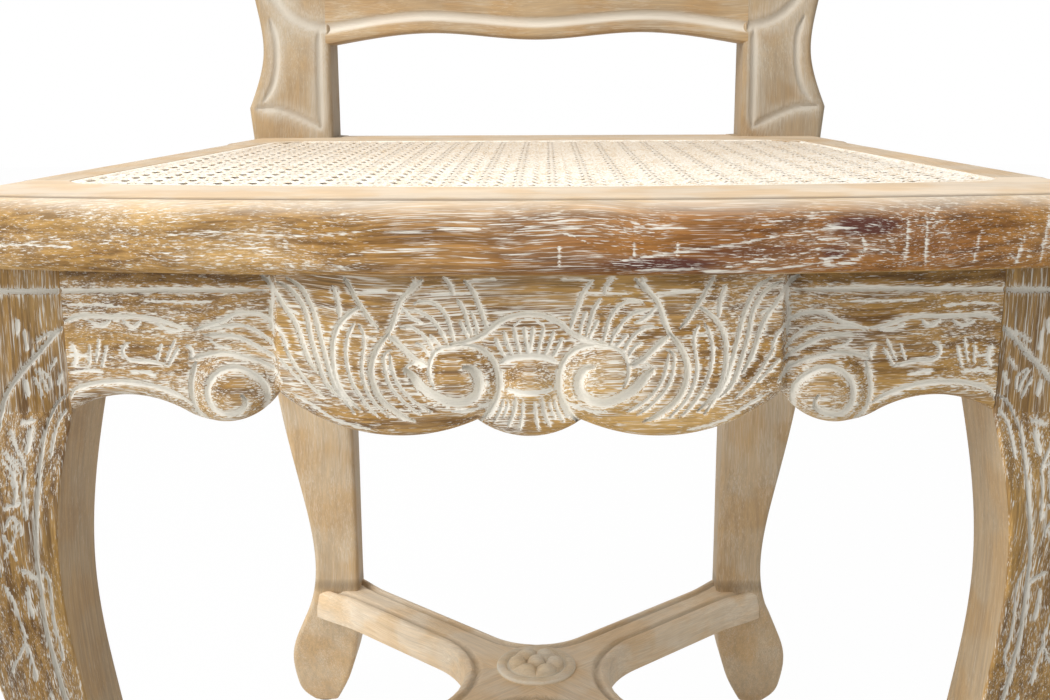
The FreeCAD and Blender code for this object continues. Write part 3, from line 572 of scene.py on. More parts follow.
# swellings of the face: middle, radius, height
apronSwell = [((-31, 397), 19.0, 4.0), ((-122, 388), 17.0, 5.0), ((0, 393), 10.5, 3.6),
              ((-58, 398), 40.0, 1.6)]
apronStrokes = [
    # long leaves at the end of the carved middle
    ([(-96.4, 436), (-91.4, 432.9), (-87.9, 427.1), (-85.4, 420.7), (-83.9, 414.3), (-82.5, 407.9),
      (-80.7, 400), (-78.6, 392.9), (-75, 387.1), (-70.7, 380.7)], 2.4, 1.9),
    ([(-100, 434.3), (-95, 431.4), (-91.4, 427.1), (-88.9, 421.4), (-87.9, 415), (-86.4, 407.9),
      (-84.6, 401.4), (-82.9, 395.7), (-80, 390.7), (-76.4, 387.1)], 2.4, 1.9),
    ([(-105, 435), (-102, 431.4), (-98.6, 425.7), (-94.3, 419.3), (-92.1, 413.6), (-90.4, 407.9),
      (-88.2, 402.1), (-85.7, 397.9)], 2.6, 1.9),
    ([(-98.6, 407.9), (-95, 401.4), (-91.4, 395.7), (-87.1, 390.7), (-82.9, 386.8)], 1.8, 1.5),
    ([(-101, 403), (-95.7, 397.1), (-91.5, 393)], 1.7, 1.3),
    ([(-103, 417), (-99.5, 413), (-97.5, 407)], 1.8, 1.2),
    ([(-77.8, 433), (-76, 427), (-75.4, 420.7)], 2.4, 1.5), ([(-98, 424), (-92, 421.5)], 1.6, 1.0),
    # middle leaf
    ([(-66.1, 425.4), (-70, 422.9), (-74.3, 419.3), (-77.1, 415), (-78.6, 409.3), (-78.9, 403.6),
      (-78.2, 397.1), (-76.4, 391.4), (-72.9, 386.4), (-67.9, 382)], 2.7, 2.1),
    ([(-69.3, 418.6), (-71.4, 415), (-72.9, 410), (-73.2, 404.3), (-72.5, 398.6), (-70.7, 392.9),
      (-67.9, 387.9), (-64.3, 382.9), (-60.7, 379.5)], 1.8, 1.5),
    ([(-67.9, 417.9), (-66.1, 414.3), (-65.7, 410.7), (-66.4, 405.7), (-67.1, 400), (-66.4, 394.3),
      (-64.3, 388.6), (-60.7, 383.6), (-56.4, 379.6)], 1.8, 1.5),
    ([(-71.4, 413.6), (-60.7, 412.1)], 1.1, 0.7),
    # main stem with two lines inside its bend
    ([(-55.7, 414.3), (-59.3, 410), (-62.1, 405), (-63.4, 399.3), (-62.9, 394.3), (-61.4, 390),
      (-58.6, 385.7), (-54.3, 382.1), (-49.3, 378.9), (-46.4, 377.9)], 3.2, 2.7),
    ([(-57.4, 411.6), (-53.6, 419.3), (-52.1, 424.3), (-50, 428.2), (-45.7, 432.1), (-42, 436)], 2.6,
      2.0), ([(-49, 430), (-45.5, 434), (-44.6, 437)], 1.6, 1.2),
    ([(-55, 407.5), (-57.5, 405.7), (-57.9, 401.4), (-57.1, 396.4), (-55, 391.4), (-51.4, 387.1),
      (-47.1, 382.9), (-43.6, 380.7)], 1.8, 1.5),
    ([(-55.7, 405.7), (-55, 400.7), (-53.6, 395.7), (-50.7, 390.7), (-45.7, 385.7), (-39.3, 381.8)], 1.8,
      1.5),
    ([(-73.4, 436.6), (-70.7, 432.1), (-68.6, 427.9), (-65.7, 423.6), (-62.9, 419.3), (-60, 416.4)], 2.2,
      2.2), ([(-96.4, 388.4), (-88.6, 384.3), (-80, 378.6), (-72, 375.6), (-64, 374)], 1.5, 0.8),
    # scroll beside the shell
    ([(-25.7, 401), (-22.4, 400), (-20.2, 396.4), (-19.8, 392.9), (-21.4, 389.3), (-25, 386.8),
      (-30, 386), (-35, 387.5), (-40, 390), (-44.3, 393.6), (-47.3, 397.4), (-49.6, 399.4)], 5.4, 3.2),
    ([(-26.4, 409.2), (-32.1, 409), (-36.4, 407.5), (-38.8, 404.3), (-39.8, 400), (-39.4, 396.4),
      (-37.6, 392.4)], 2.0, 1.6),
    ([(-28, 409.4), (-20.7, 408.6), (-15, 404.3), (-12.9, 400), (-12.2, 394.3), (-12.5, 389.3),
      (-14.3, 385), (-17, 380.7), (-19.6, 377.6)], 3.0, 2.4),
    ([(-13, 387.1), (-19.3, 384.2), (-25, 382.6), (-31.4, 382.6)], 1.2, 0.7),
    ([(-55.6, 413), (-52.1, 410), (-48.6, 406.4), (-45, 403.2), (-40.5, 401.6)], 3.2, 2.2),
    ([(-49.8, 397.6), (-49.3, 400), (-47.5, 401.6), (-44, 402.2)], 1.5, 1.2),
    # fan above the scroll
    ([(-45.4, 426.2), (-40.7, 427.1), (-36.4, 425.7), (-33.2, 422.1), (-31.4, 417.9), (-30.4, 413.6),
      (-29, 410.6)], 2.0, 1.6),
    ([(-48.6, 424), (-43.6, 422.9), (-39.3, 420.7), (-35.7, 416.4), (-33.6, 412.9), (-32.3, 410)], 1.9,
      1.5), ([(-51, 416.6), (-46.4, 416.4), (-42.1, 413.6), (-39.3, 410), (-37.7, 406.8)], 1.8, 1.4),
    ([(-45, 410.7), (-42.1, 408.6), (-39.6, 405)], 1.6, 1.2),
    ([(-39.3, 413.8), (-36.4, 410.7), (-34.4, 409)], 1.5, 1.1),
    ([(-51, 425.5), (-48, 422), (-45, 419.6), (-42, 418.6)], 1.6, 1.1),
    ([(-33.4, 436.6), (-30.6, 433), (-30, 430)], 2.2, 1.4),
    ([(-28.4, 428), (-25.7, 423.6), (-24.3, 418.6), (-22.6, 413)], 2.0, 1.6),
    ([(-22.9, 423), (-21.4, 419.3), (-20.2, 413.4)], 1.8, 1.4),
    ([(-27.2, 419), (-25.7, 415.7), (-23.7, 412)], 1.8, 1.4),
    ([(-25.2, 435.4), (-22.1, 431.4), (-20, 426.4), (-18.2, 421.4), (-16.2, 415.2)], 2.4, 1.8),
    ([(-24.6, 435.2), (-19.3, 435.8), (-12, 436)], 1.1, 0.6),
    # shell in the middle, with the boss and its drop
    ([(-31, 410.2), (-24.3, 411), (-19.3, 412.9), (-15.7, 415.4), (-12.9, 417.9), (-9.3, 420),
      (-5, 421.4), (0, 422), (5, 421.4)], 3.0, 2.1),
    ([(-11.4, 402), (-8, 403.8), (-4, 404.6), (0, 404.8), (4, 404.6)], 3.4, 1.5),
    ([(-9.6, 404.8), (-12, 409), (-13.2, 412.4)], 1.9, 1.3),
    ([(-6.6, 405.6), (-8.8, 411), (-10, 415.4)], 1.9, 1.3),
    ([(-3.6, 406), (-5, 412), (-6, 416.4)], 1.9, 1.3),
    ([(-0.4, 406), (-1.2, 412), (-1.8, 417)], 1.9, 1.3),
    ([(-6.2, 417), (-3, 419.4), (0, 419.8), (3, 419.4)], 1.3, 0.8),
    ([(-11, 399.4), (-11.3, 395), (-10.6, 391)], 2.2, 1.5),
    ([(-9, 391.6), (-4, 390.6), (0, 390.4), (4, 390.6)], 2.6, 0.9),
    ([(-12.1, 387.4), (-14, 383), (-16.6, 378.8)], 1.6, 1.2),
    ([(-10, 387.4), (-11.4, 382.9), (-14, 378)], 1.7, 1.3),
    ([(-5.2, 388), (-6.2, 381.4), (-8.6, 375.8)], 2.0, 1.4),
    ([(-2.4, 387), (-2.8, 380), (-4, 374)], 1.5, 0.9), ([(-8, 387), (-9, 383), (-10.6, 379)], 1.3, 0.8),
    # straight lines under the seat
    ([(-240, 427.5), (-213, 427.5), (-153.4, 429.3), (-106, 430.2)], 2.4, 1.4),
    ([(-70.7, 430.4), (-59.3, 430.8), (-48.6, 430)], 1.3, 0.7),
    ([(-41, 430.4), (-30, 430.2), (-20, 430.7)], 1.0, 0.4),
    # borders of the side panel, scalloped above
    ([(-194, 414.4), (-189, 416.8), (-182, 417.7), (-172, 417.6), (-160, 417.8), (-152, 416.8),
      (-146, 414.9), (-138, 413.6)], 2.4, 1.4), ([(-183, 416), (-177, 413.6), (-173.2, 416)], 1.9, 1.0),
    ([(-167.5, 416.2), (-163.5, 413.6), (-160, 416.4)], 2.0, 1.0),
    ([(-153, 415.2), (-148, 413), (-142, 412.9)], 1.9, 1.0),
    ([(-194.2, 381.5), (-191.9, 385.4), (-186.5, 387.7), (-180.4, 389.2), (-172.7, 390), (-165, 390),
      (-157.3, 388.8), (-150.4, 386.9), (-145, 384.6), (-140.4, 381.5)], 2.9, 1.5),
    ([(-183.1, 405.6), (-183.8, 396.9)], 1.3, 0.9), ([(-178.5, 408.8), (-180.8, 398)], 1.3, 0.9),
    ([(-175.4, 405.6), (-178.5, 395.8)], 1.4, 0.9), ([(-151.5, 406.8), (-153.8, 400)], 1.3, 0.9),
    ([(-145.3, 409.2), (-150.2, 399.6)], 1.3, 0.9), ([(-144.4, 405.2), (-149.4, 397.4)], 1.5, 0.9),
    ([(-165.4, 407), (-168.1, 405), (-168.6, 402.3), (-166.5, 399.8), (-161.2, 399.2), (-155, 398.8),
      (-149.4, 397.6)], 1.9, 1.0), ([(-191, 405), (-189.5, 400), (-191, 396)], 2.4, 0.5),
    ([(-192, 401), (-184, 400.6)], 1.3, 0.4), ([(-193, 393), (-186, 394.4), (-178, 394)], 1.6, 0.4),
    ([(-166, 394.6), (-160, 394.4), (-155, 393.4)], 1.5, 0.4),
    ([(-193, 422), (-180, 422.6), (-166, 421.8)], 1.0, 0.3),
    ([(-160, 425), (-146, 424.6), (-128, 425)], 0.9, 0.3),
    # small scroll beside the carved middle
    ([(-109.2, 380.8), (-107.3, 386.2), (-108.8, 391.5), (-113.5, 395.8), (-119.6, 398.1),
      (-125.8, 396.9), (-130.4, 393.1), (-132.3, 387.7), (-131.2, 382.3), (-127.6, 378.8),
      (-122.7, 378.7), (-118.4, 380.4), (-116, 383.8), (-117.3, 387)], 3.6, 2.4),
    ([(-137.3, 399.6), (-139.2, 393.8), (-140, 387.7), (-139.6, 383.1), (-138.1, 378.9), (-134.2, 375.4)],
      2.6, 2.0),
    ([(-139.4, 400.6), (-133.5, 402.5), (-127.3, 403.6), (-121.2, 403.2), (-114.2, 401.5),
      (-108.1, 399.6), (-103.5, 396.9), (-100.4, 393.2)], 2.6, 1.8),
    ([(-133, 411), (-125.8, 411), (-119.6, 410.5), (-113.5, 408.1), (-107.3, 404.6), (-102.6, 402)], 2.5,
      1.7),
    ([(-131.4, 413.6), (-122.7, 415), (-116.5, 415.2), (-111.2, 413.3), (-105.8, 409.2), (-103, 406)],
      2.1, 1.5),
    ([(-137, 413), (-130.4, 415.2), (-124.2, 417.4), (-119.6, 420), (-113.5, 420.6), (-107.3, 419.2),
      (-102.7, 415.4)], 2.6, 1.6), ([(-131, 409.4), (-127.4, 406.8), (-122, 406)], 1.3, 0.9),
    ([(-141, 406.6), (-138.6, 404), (-139.6, 401)], 2.2, 1.0),
    ([(-107.6, 436), (-103.8, 432.4), (-103, 427.7), (-104.4, 421.6), (-103.4, 412)], 2.4, 1.6)]


# Lower edge of the front apron, arc after arc outwards from the middle.
def apronBottom(x):
    x = np.abs(x)
    low = np.full_like(x, apronEdge[-1][2][1])
    for start, middle, end in reversed(apronEdge):
        if start[0] == 0:
            part = arcHeight(x, (-end[0], end[1]), start, end)
        else:
            part = arcHeight(x, start, middle, end)
        low = np.where(x <= end[0], part, low)
    return low


def makeFrontApron():
    a = apron
    x = np.linspace(-a["half"], a["half"], a["columns"])
    cusps = np.array([end[0] for start, middle, end in apronEdge[:-1]])
    x = np.unique(np.concatenate([x, cusps, -cusps]))
    low = apronBottom(x)
    top = np.full_like(x, a["top"])
    px = spread(x, a["rows"])
    pz = between(top, low, np.linspace(0, 1, a["rows"]))
    wide = np.abs(px)
    depth, paste = carve(-wide, pz, apronStrokes)
    relief = a["relief"] * smoothStep(wide, a["panelHalf"] + 2.5, a["panelHalf"] - 2.0)
    swell = np.zeros_like(px)
    for (cx, cz), radius, height in apronSwell:
        swell = np.maximum(swell, height * channel(np.hypot(wide + cx, pz - cz), radius))
    swell = np.where(wide > a["panelHalf"], swell, swell - a["sink"])
    roll = roundOver(pz - low[:, None], a["roll"], a["rollBack"])
    faceY = a["face"] + bow(px) - relief - swell + depth + roll
    rear = a["face"] + a["thick"] + bow(x)
    under, up, over = np.linspace(0, 1, 8)[1:], np.linspace(0, 1, 9)[1:], np.linspace(0, 1, 5)[1:-1]
    y = np.concatenate([faceY, between(faceY[:, -1], rear, under), spread(rear, len(up)),
                        between(rear, faceY[:, 0], over)], axis=1)
    z = np.concatenate([pz, spread(low, len(under)), between(low, top, up), spread(top, len(over))], axis=1)
    loops = np.stack([spread(x, y.shape[1]), y, z], axis=-1)
    # under the seat a strip along the top is painted shade for the nose's shadow, and along the side panels
    # it is also bare dark wood; the side panels take a little painted shade all over
    outer = smoothStep(wide, a["panelHalf"] - 1, a["panelHalf"] + 3)
    strip = smoothStep(pz, a["stripLow"], a["stripHigh"])
    paintedShade = np.maximum(strip * (0.2 + 0.42 * outer), 0.15 * outer)
    tags = {"paste": onFace(paste, y), "bare": onFace(0.85 * strip * outer, y, 1.0), "shade": onFace(paintedShade, y)}
    return carried("frontApron", loops, tags, limedApron, ["front_apron"])


makeFrontApron()
print("front apron carved")


# Loop of a four-sided bar with rounded arrises at each station: front, outer side, back, inner
# side, as sides of so many points joined by quarter circles. Returns the loops and each point's
# side number (0 to 3, or -1 on an arris).
def roundedBar(inner, outer, near, far, z, counts, radius):
    turn = np.linspace(0, math.pi / 2, 5)[1:-1]
    corners = [(outer, near, 1, 1), (outer, far, 1, -1), (inner, far, -1, -1), (inner, near, -1, 1)]
    starts = [(inner + radius, near), (outer, near + radius), (outer - radius, far), (inner, far - radius)]
    stops = [(outer - radius, near), (outer, far - radius), (inner + radius, far), (inner, near + radius)]
    xs, ys, sides = [], [], []
    for k in range(4):
        t = np.linspace(0, 1, counts[k])
        (x0, y0), (x1, y1) = starts[k], stops[k]
        cx, cy, sx, sy = corners[k]
        angle = (k - 1) * math.pi / 2 + turn
        xs += [between(x0, x1, t), (cx - sx * radius)[:, None] + radius * np.cos(angle)]
        ys += [between(y0, y1, t), (cy + sy * radius)[:, None] + radius * np.sin(angle)]
        sides += [k] * counts[k] + [-1] * len(turn)
    x, y = np.concatenate(xs, axis=1), np.concatenate(ys, axis=1)
    return np.stack([x, y, spread(z, x.shape[1])], axis=-1), np.array(sides)


# Front legs: the square top block runs down into a bowed leg. Sections stand on smooth lines
# through the stations, and the front and the outer face are cut by the same strokes.
leg = {"inner": 194.0, "outer": 239.0, "front": 22.0, "rear": 67.0, "blockFoot": 376.0, "top": 438.0,
       "foot": 3.0, "step": 1.0, "faceCount": 60, "plainCount": 16, "arris": 1.6, "paste": 0.88,
       "shade": 0.5, "bare": 0.6, "paintedLight": 0.72}
# height, outward shift, inward shift
legStations = [(3, -8, 10), (52, 4, -4), (105.5, -17, -6), (224, -5, 4), (293, 6, 9), (345, 9, 5),
               (376, 0, 0)]
legStrokes = [
    # ribbon that comes out of the apron's border, with its leaves
    ([(-193.7, 412.8), (-199.8, 408.1), (-205.3, 402), (-210.9, 396.4), (-216.4, 390.3), (-220.9, 384.2),
      (-224, 377), (-225, 368)], 2.8, 1.7), ([(-194, 411), (-202, 409.2), (-207.6, 405.6)], 1.9, 1.1),
    ([(-211.4, 411), (-210.9, 402)], 1.7, 0.8), ([(-213.7, 415), (-214.4, 410)], 2.8, 0.7),
    ([(-208.1, 394), (-205.3, 389.2), (-203.7, 384)], 1.7, 1.1),
    ([(-209.4, 391), (-207, 385.9), (-205.7, 381.6)], 1.6, 1.0),
    ([(-207.6, 394.6), (-203.1, 390.9), (-202.7, 386)], 1.4, 0.9),
    ([(-213, 389.4), (-212, 383)], 2.8, 0.7), ([(-199, 399), (-202, 394)], 1.8, 0.8),
    ([(-197, 393), (-199, 387.6)], 2.0, 0.8),
    # long groove down the inner border, double below the knee
    ([(-193.2, 383.6), (-198.7, 381), (-202.6, 375.3), (-205.3, 367.6), (-206.4, 359.8), (-207.3, 352),
      (-208.1, 343.1), (-209.2, 334.2), (-210.5, 324), (-211.6, 312.5), (-211.9, 301.4), (-212.3, 290.2),
      (-212.5, 279.1), (-211.8, 268), (-210.7, 256.9), (-209.6, 246.9), (-206, 215), (-203, 180),
      (-199, 140)], 2.3, 1.6),
    ([(-195.6, 377.4), (-199.6, 372), (-201.4, 365.3), (-202.8, 357)], 1.6, 1.0),
    ([(-209.4, 309), (-208, 303), (-207.9, 295.8), (-208.4, 284.7), (-207.9, 273.6), (-207.5, 262.5),
      (-209.4, 258.6)], 1.6, 1.0),
    # leaves and hatching down the front
    ([(-216.4, 371.2), (-209.6, 372)], 2.2, 0.9), ([(-211.2, 369), (-212.8, 359)], 3.2, 1.0),
    ([(-220.9, 369.8), (-218.1, 363.1), (-214.4, 355.6), (-213.1, 350.5)], 1.8, 1.1),
    ([(-224, 360.4), (-218.7, 356.6), (-214.2, 354)], 1.4, 0.9),
    ([(-222.6, 359.4), (-215.3, 350.6)], 1.4, 0.9), ([(-224, 356.6), (-217, 349.4)], 1.3, 0.8),
    ([(-219.8, 352), (-217.6, 344.2), (-218.7, 338)], 2.6, 1.1),
    ([(-213.7, 350.9), (-214.3, 339.8), (-213.7, 331)], 2.0, 1.1),
    ([(-223, 336.2), (-216, 337.8)], 2.0, 0.9),
    ([(-223.4, 326), (-219.8, 331.6), (-217.4, 329.2), (-216.8, 323.6)], 1.7, 1.0),
    ([(-221, 325.6), (-219, 328.6), (-218.6, 322)], 1.3, 0.8),
    ([(-225, 324), (-221.8, 316.9), (-220.5, 312)], 1.6, 0.9),
    ([(-219, 325), (-221.6, 319), (-225.6, 313)], 1.4, 0.8),
    ([(-219, 307.4), (-214, 303.5), (-211.4, 300)], 2.5, 1.2),
    ([(-217.3, 299), (-218, 290.2), (-217.2, 283.6)], 2.6, 0.9),
    ([(-231.8, 253.5), (-227.3, 262.5), (-222.9, 271.4), (-223.4, 282)], 1.5, 0.9),
    ([(-222.9, 271.4), (-221.2, 261.4), (-220.6, 251)], 2.1, 0.9),
    ([(-228, 300), (-225, 292), (-223.6, 283)], 1.8, 0.8),
    ([(-234, 366), (-231, 348), (-229.5, 325), (-228.4, 304)], 2.4, 1.2),
    ([(-215.4, 246), (-214.6, 232), (-212, 218)], 2.0, 0.8),
    # toe
    ([(-199, 66), (-208, 60), (-217, 60), (-226, 66)], 2.4, 1.4),
    ([(-212.5, 56), (-212.5, 40), (-213, 24)], 2.0, 1.1),
    ([(-240, 427.5), (-213, 427.5), (-190, 427.9)], 2.8, 1.5)]


def makeFrontLeg(sign, side):
    a = leg
    z = np.arange(a["foot"], a["top"] + a["step"] / 2, a["step"])
    heights, out, drawn = (np.array(column, float) for column in zip(*legStations))
    low = np.minimum(z, a["blockFoot"])
    out, drawn = spline(heights, out, low), spline(heights, drawn, low)
    inner, outer = a["inner"] + drawn, a["outer"] + out
    near, far = a["front"] - out, a["rear"] - drawn
    counts = [a["faceCount"], a["faceCount"], a["plainCount"], a["plainCount"]]
    loops, sides = roundedBar(inner, outer, near, far, z, counts, a["arris"])
    front, outside, plain = sides == 0, sides == 1, sides >= 2
    paste = np.zeros(loops.shape[:2])
    depth, white = carve(-loops[:, front, 0], loops[:, front, 2], legStrokes)
    loops[:, front, 1] += depth
    paste[:, front] = a["paste"] * white
    # the outer face takes the front's strokes turned round the leg's outer arris
    swung = (near + outer)[:, None] - loops[:, outside, 1]
    depth, white = carve(-swung, loops[:, outside, 2], legStrokes)
    loops[:, outside, 0] -= depth
    paste[:, outside] = a["paste"] * white
    loops[..., 0] *= sign
    # painted shade on the front and outer faces, with some darker wood there; painted light on the back and
    # inner sides, which take a lighter even colour and keep less paste
    ones = np.ones((len(z), 1))
    tags = {"paste": paste, "bare": ones * a["bare"] * plain, "paintedLight": ones * a["paintedLight"] * plain,
            "shade": ones * a["shade"] * (front | outside)}
    return carried("frontLeg" + side.capitalize(), loops, tags, limedLeg, ["front_leg_" + side])


for sign, side in bothSides:
    makeFrontLeg(sign, side)
print("front legs carved")


# Rear posts: leg, block and stile in one. Each level has an inner and outer x and a front and
# rear y. Above the hips the outer x follows the frame's outline and the inner x its opening.
post = {"inner": 142.0, "neck": 148.0, "outer": 206.0, "front": 432.0, "rear": 472.0, "blockFoot": 383.0,
        "hip": 489.0, "foot": 3.0, "step": 2.0, "counts": (52, 16, 24, 16), "arris": 3.6, "soft": 10.0,
        "ankle": 121.0}
# height, inner, outer, front and rear shift of the leg
postStations = [(3, 25, -19, 34, 20), (10, 21.5, -13, 30, 22), (26, 14, -8, 23, 24), (52, 6, -7, 15, 22),
                (105.5, -1, -27, -2, -8), (205, -1, -21, 0, -9), (270, 0, -8, 2, -3), (383, 0, 0, 0, 0)]
postStrokes = [
    # cove that comes from the lower rail and runs up the stile
    ([(-100, 544.5), (-125, 544.8), (-150, 545.2), (-160, 546.5), (-170, 550), (-180, 557), (-188, 567),
      (-194, 582), (-203, 620), (-213, 690), (-219, 745), (-221.5, 795), (-220, 840), (-215, 882)], 9.0,
      2.2),
    # border of the panel below it
    ([(-191, 551), (-187.5, 540), (-186.5, 528), (-187.5, 514), (-191, 503), (-197, 494)], 6.0, 1.7),
    ([(-202, 488.5), (-190, 488.5), (-178, 485), (-167, 480), (-157, 475)], 6.4, 1.8),
    ([(-156, 474), (-156, 500), (-156, 520), (-156, 545)], 6.4, 1.7)]


def makeRearPost(sign, side):
    a = post
    top = seat["top"]
    z = np.append(np.arange(a["foot"], back["joint"], a["step"]), [top - 0.5, top - 0.2, back["joint"]])
    z = np.sort(z)
    columns = [np.array(column, float) for column in zip(*postStations)]
    low = np.minimum(z, a["blockFoot"])
    inside, outside, near, far = (spline(columns[0], column, low) for column in columns[1:])
    inner, outer = a["inner"] + inside, a["outer"] + outside
    near, far = a["front"] + near, a["rear"] + far
    line = outerRight()
    outer = outer + (outlineKnots[0][0] - a["outer"]) * np.clip((z - top) / (a["hip"] - top), 0, 1)
    outer = np.where(z > a["hip"], np.interp(z, line[:, 1], line[:, 0]), outer)
    inner = np.where(z > top - 0.3, a["neck"], inner)
    opening, ring = openingRight(), openingRight(caneRing)
    inner = np.maximum(inner, np.where(z > opening[0, 1], np.interp(z, opening[:, 1], opening[:, 0]), 0))
    # the front and back lines bend smoothly into the slope of the back, the back line later
    slope = math.tan(back["tilt"])
    later = (a["rear"] - a["front"] - back["thick"] / math.cos(back["tilt"])) / slope
    past = z - top - back["bend"]
    near = near + slope * (past + np.sqrt(past ** 2 + a["soft"] ** 2)) / 2
    past = past - later
    far = far + slope * (past + np.sqrt(past ** 2 + a["soft"] ** 2)) / 2
    loops, sides = roundedBar(inner, outer, near, far, z, a["counts"], a["arris"])
    face = sides == 0
    px, pz = loops[:, face, 0], loops[:, face, 2]
    depth, white = carve(-px, pz, postStrokes)
    edge = np.where(z > ring[0, 1], np.interp(z, ring[:, 1], ring[:, 0]), 0)
    rebate = px < edge[:, None]
    loops[:, face, 1] += np.where(rebate, caneFit["rebate"], depth) / math.cos(back["tilt"])
    # the arris between the inner side and the face goes down with the rebate
    tail = np.flatnonzero(sides == -1)[-3:]
    loops[:, tail, 1] += (edge > inner)[:, None] * caneFit["rebate"]
    # painted shade above the seat and painted light on the legs, most at the feet, with a dark line at the
    # ankle
    level = 0.52 * smoothStep(z, 440, 470) - 0.10 - 0.22 * smoothStep(z, 130, 70)
    level = level + 0.5 * channel(z - a["ankle"], 6)
    loops[..., 0] *= sign
    tags = {"paste": onFace(np.where(rebate, 0, white), loops), "shade": spread(level, loops.shape[1])}
    return carried("rearPost" + side.capitalize(), loops, tags, limedPost, ["rear_post_" + side])


for sign, side in bothSides:
    makeRearPost(sign, side)
print("rear posts made")


# Bands: wood between an inner and an outer line. At each station a loop goes over the top from
# the inner to the outer line, round the outer edge, back along the underside and up the inner edge.
# The rebate for the cane runs along the inner line. Returns plan places, distances from the inner
# line and depths under the face.
def bandLoops(innerLine, outerLine, thick, faceCount, edgeCount, topRound, underRound):
    way = outerLine - innerLine
    width = np.linalg.norm(way, axis=1)
    unit = way / width[:, None]
    turn = np.linspace(0, math.pi / 2, 9)
    t = np.linspace(0, 1, faceCount)
    upright = np.linspace(topRound, thick - underRound, edgeCount)[1:-1]
    under = t[4:-1:4]
    ones = np.ones((len(width), 1))
    across = [ones * 0, t[None, 1:-1] * (width - topRound)[:, None],
              (width - topRound)[:, None] + topRound * np.sin(turn)[None, :],
              width[:, None] + 0 * upright[None, :],
              (width - underRound)[:, None] + underRound * np.cos(turn)[None, :],
              (1 - under)[None, :] * (width - underRound)[:, None], ones * np.zeros(3)]
    depth = [ones * 0, ones * 0 * t[None, 1:-1], ones * topRound * (1 - np.cos(turn))[None, :],
             ones * upright[None, :], ones * (thick - underRound * (1 - np.sin(turn)))[None, :],
             ones * np.full(len(under), thick), ones * thick * np.array([1, 0.6, 0.3])]
    across = np.concatenate(across, axis=1)
    depth = np.concatenate(depth, axis=1)
    rebated = (across < caneRing) & (np.arange(across.shape[1]) < faceCount - 1)
    depth = np.where(rebated, caneFit["rebate"], depth)
    flat = innerLine[:, None, :] + across[..., None] * unit[:, None, :]
    return flat, across, depth


# Flat (x, y) places and heights over the seat's top as points.
def onSeat(flat, height):
    return np.concatenate([flat, (seat["top"] + height)[..., None]], axis=-1)


# Seat's front rail: outer line from joint to joint round the nose, inner line along the opening.
# The nose is worn in long waves, has a fine line along its upper arris, and dark heartwood with a
# knot at its right, outlined by white scratches.
noseRail = {"stations": 620, "faceCount": 46, "edgeCount": 22, "lineInset": 8.85}
# heartwood clouds: x, z, half length, half height, strength
heartClouds = [(90, 450, 150, 40, 0.23), (70, 454, 60, 5, 0.42), (52, 443, 32, 3.8, 1.0),
               (88, 447.5, 40, 5, 0.7), (131, 457, 19, 5.5, 1.0), (152, 450, 28, 9.0, 0.5),
               (36, 452, 34, 5.0, 0.42), (118, 447, 10, 4.5, 0.75), (230, 452, 22, 9, 0.55)]
noseMarks = [
    ([(30, 443.5), (50, 446.5), (75, 450), (100, 454), (118, 456.5)], 1.1, 0.35),
    ([(34, 440), (55, 440.6), (80, 439.8), (100, 441.5), (118, 443)], 1.2, 0.35),
    ([(110, 455.5), (121, 456.5), (129.5, 452.5), (130.5, 447), (124, 443), (113, 441.8)], 1.6, 0.4),
    ([(110, 451), (119, 452.5), (124.5, 449), (121, 445.2), (112, 444.8)], 1.2, 0.35),
    ([(60, 445), (63, 442), (68, 440.5), (84, 443.5), (98, 446)], 1.0, 0.3),
    ([(12, 451), (12, 442)], 1.4, 0.3), ([(41, 452), (41, 446)], 1.1, 0.3),
    ([(58, 452), (57.5, 446)], 1.2, 0.3), ([(148, 461), (147, 442)], 1.7, 0.35),
    ([(155, 460), (156, 440)], 1.3, 0.3), ([(196, 452), (193, 441)], 1.9, 0.35),
    ([(206, 462), (203, 441)], 1.9, 0.35), ([(215, 450), (213, 441)], 1.6, 0.3),
    ([(178, 455), (176, 442)], 1.2, 0.3), ([(-8, 455), (6, 456.5), (20, 453), (26, 450)], 1.0, 0.25),
    ([(20, 459), (48, 457), (80, 458.5)], 0.9, 0.25),
    ([(-150, 453), (-120, 455), (-90, 454), (-60, 456.5)], 0.9, 0.25),
    ([(-230, 447), (-200, 449), (-180, 448)], 1.1, 0.25),
    ([(-70, 447), (-40, 449), (-15, 447.5)], 1.0, 0.25), ([(-45, 459), (-22, 457), (-10, 459)], 1.3, 0.3)]


# Where the front rail meets the side rails, and these the rear rail.
def seatJoints():
    frontX, frontY, rearX, rearY = fieldCorners(caneRing)
    return frontY + seat["openCorner"], rearY - seat["openCorner"]


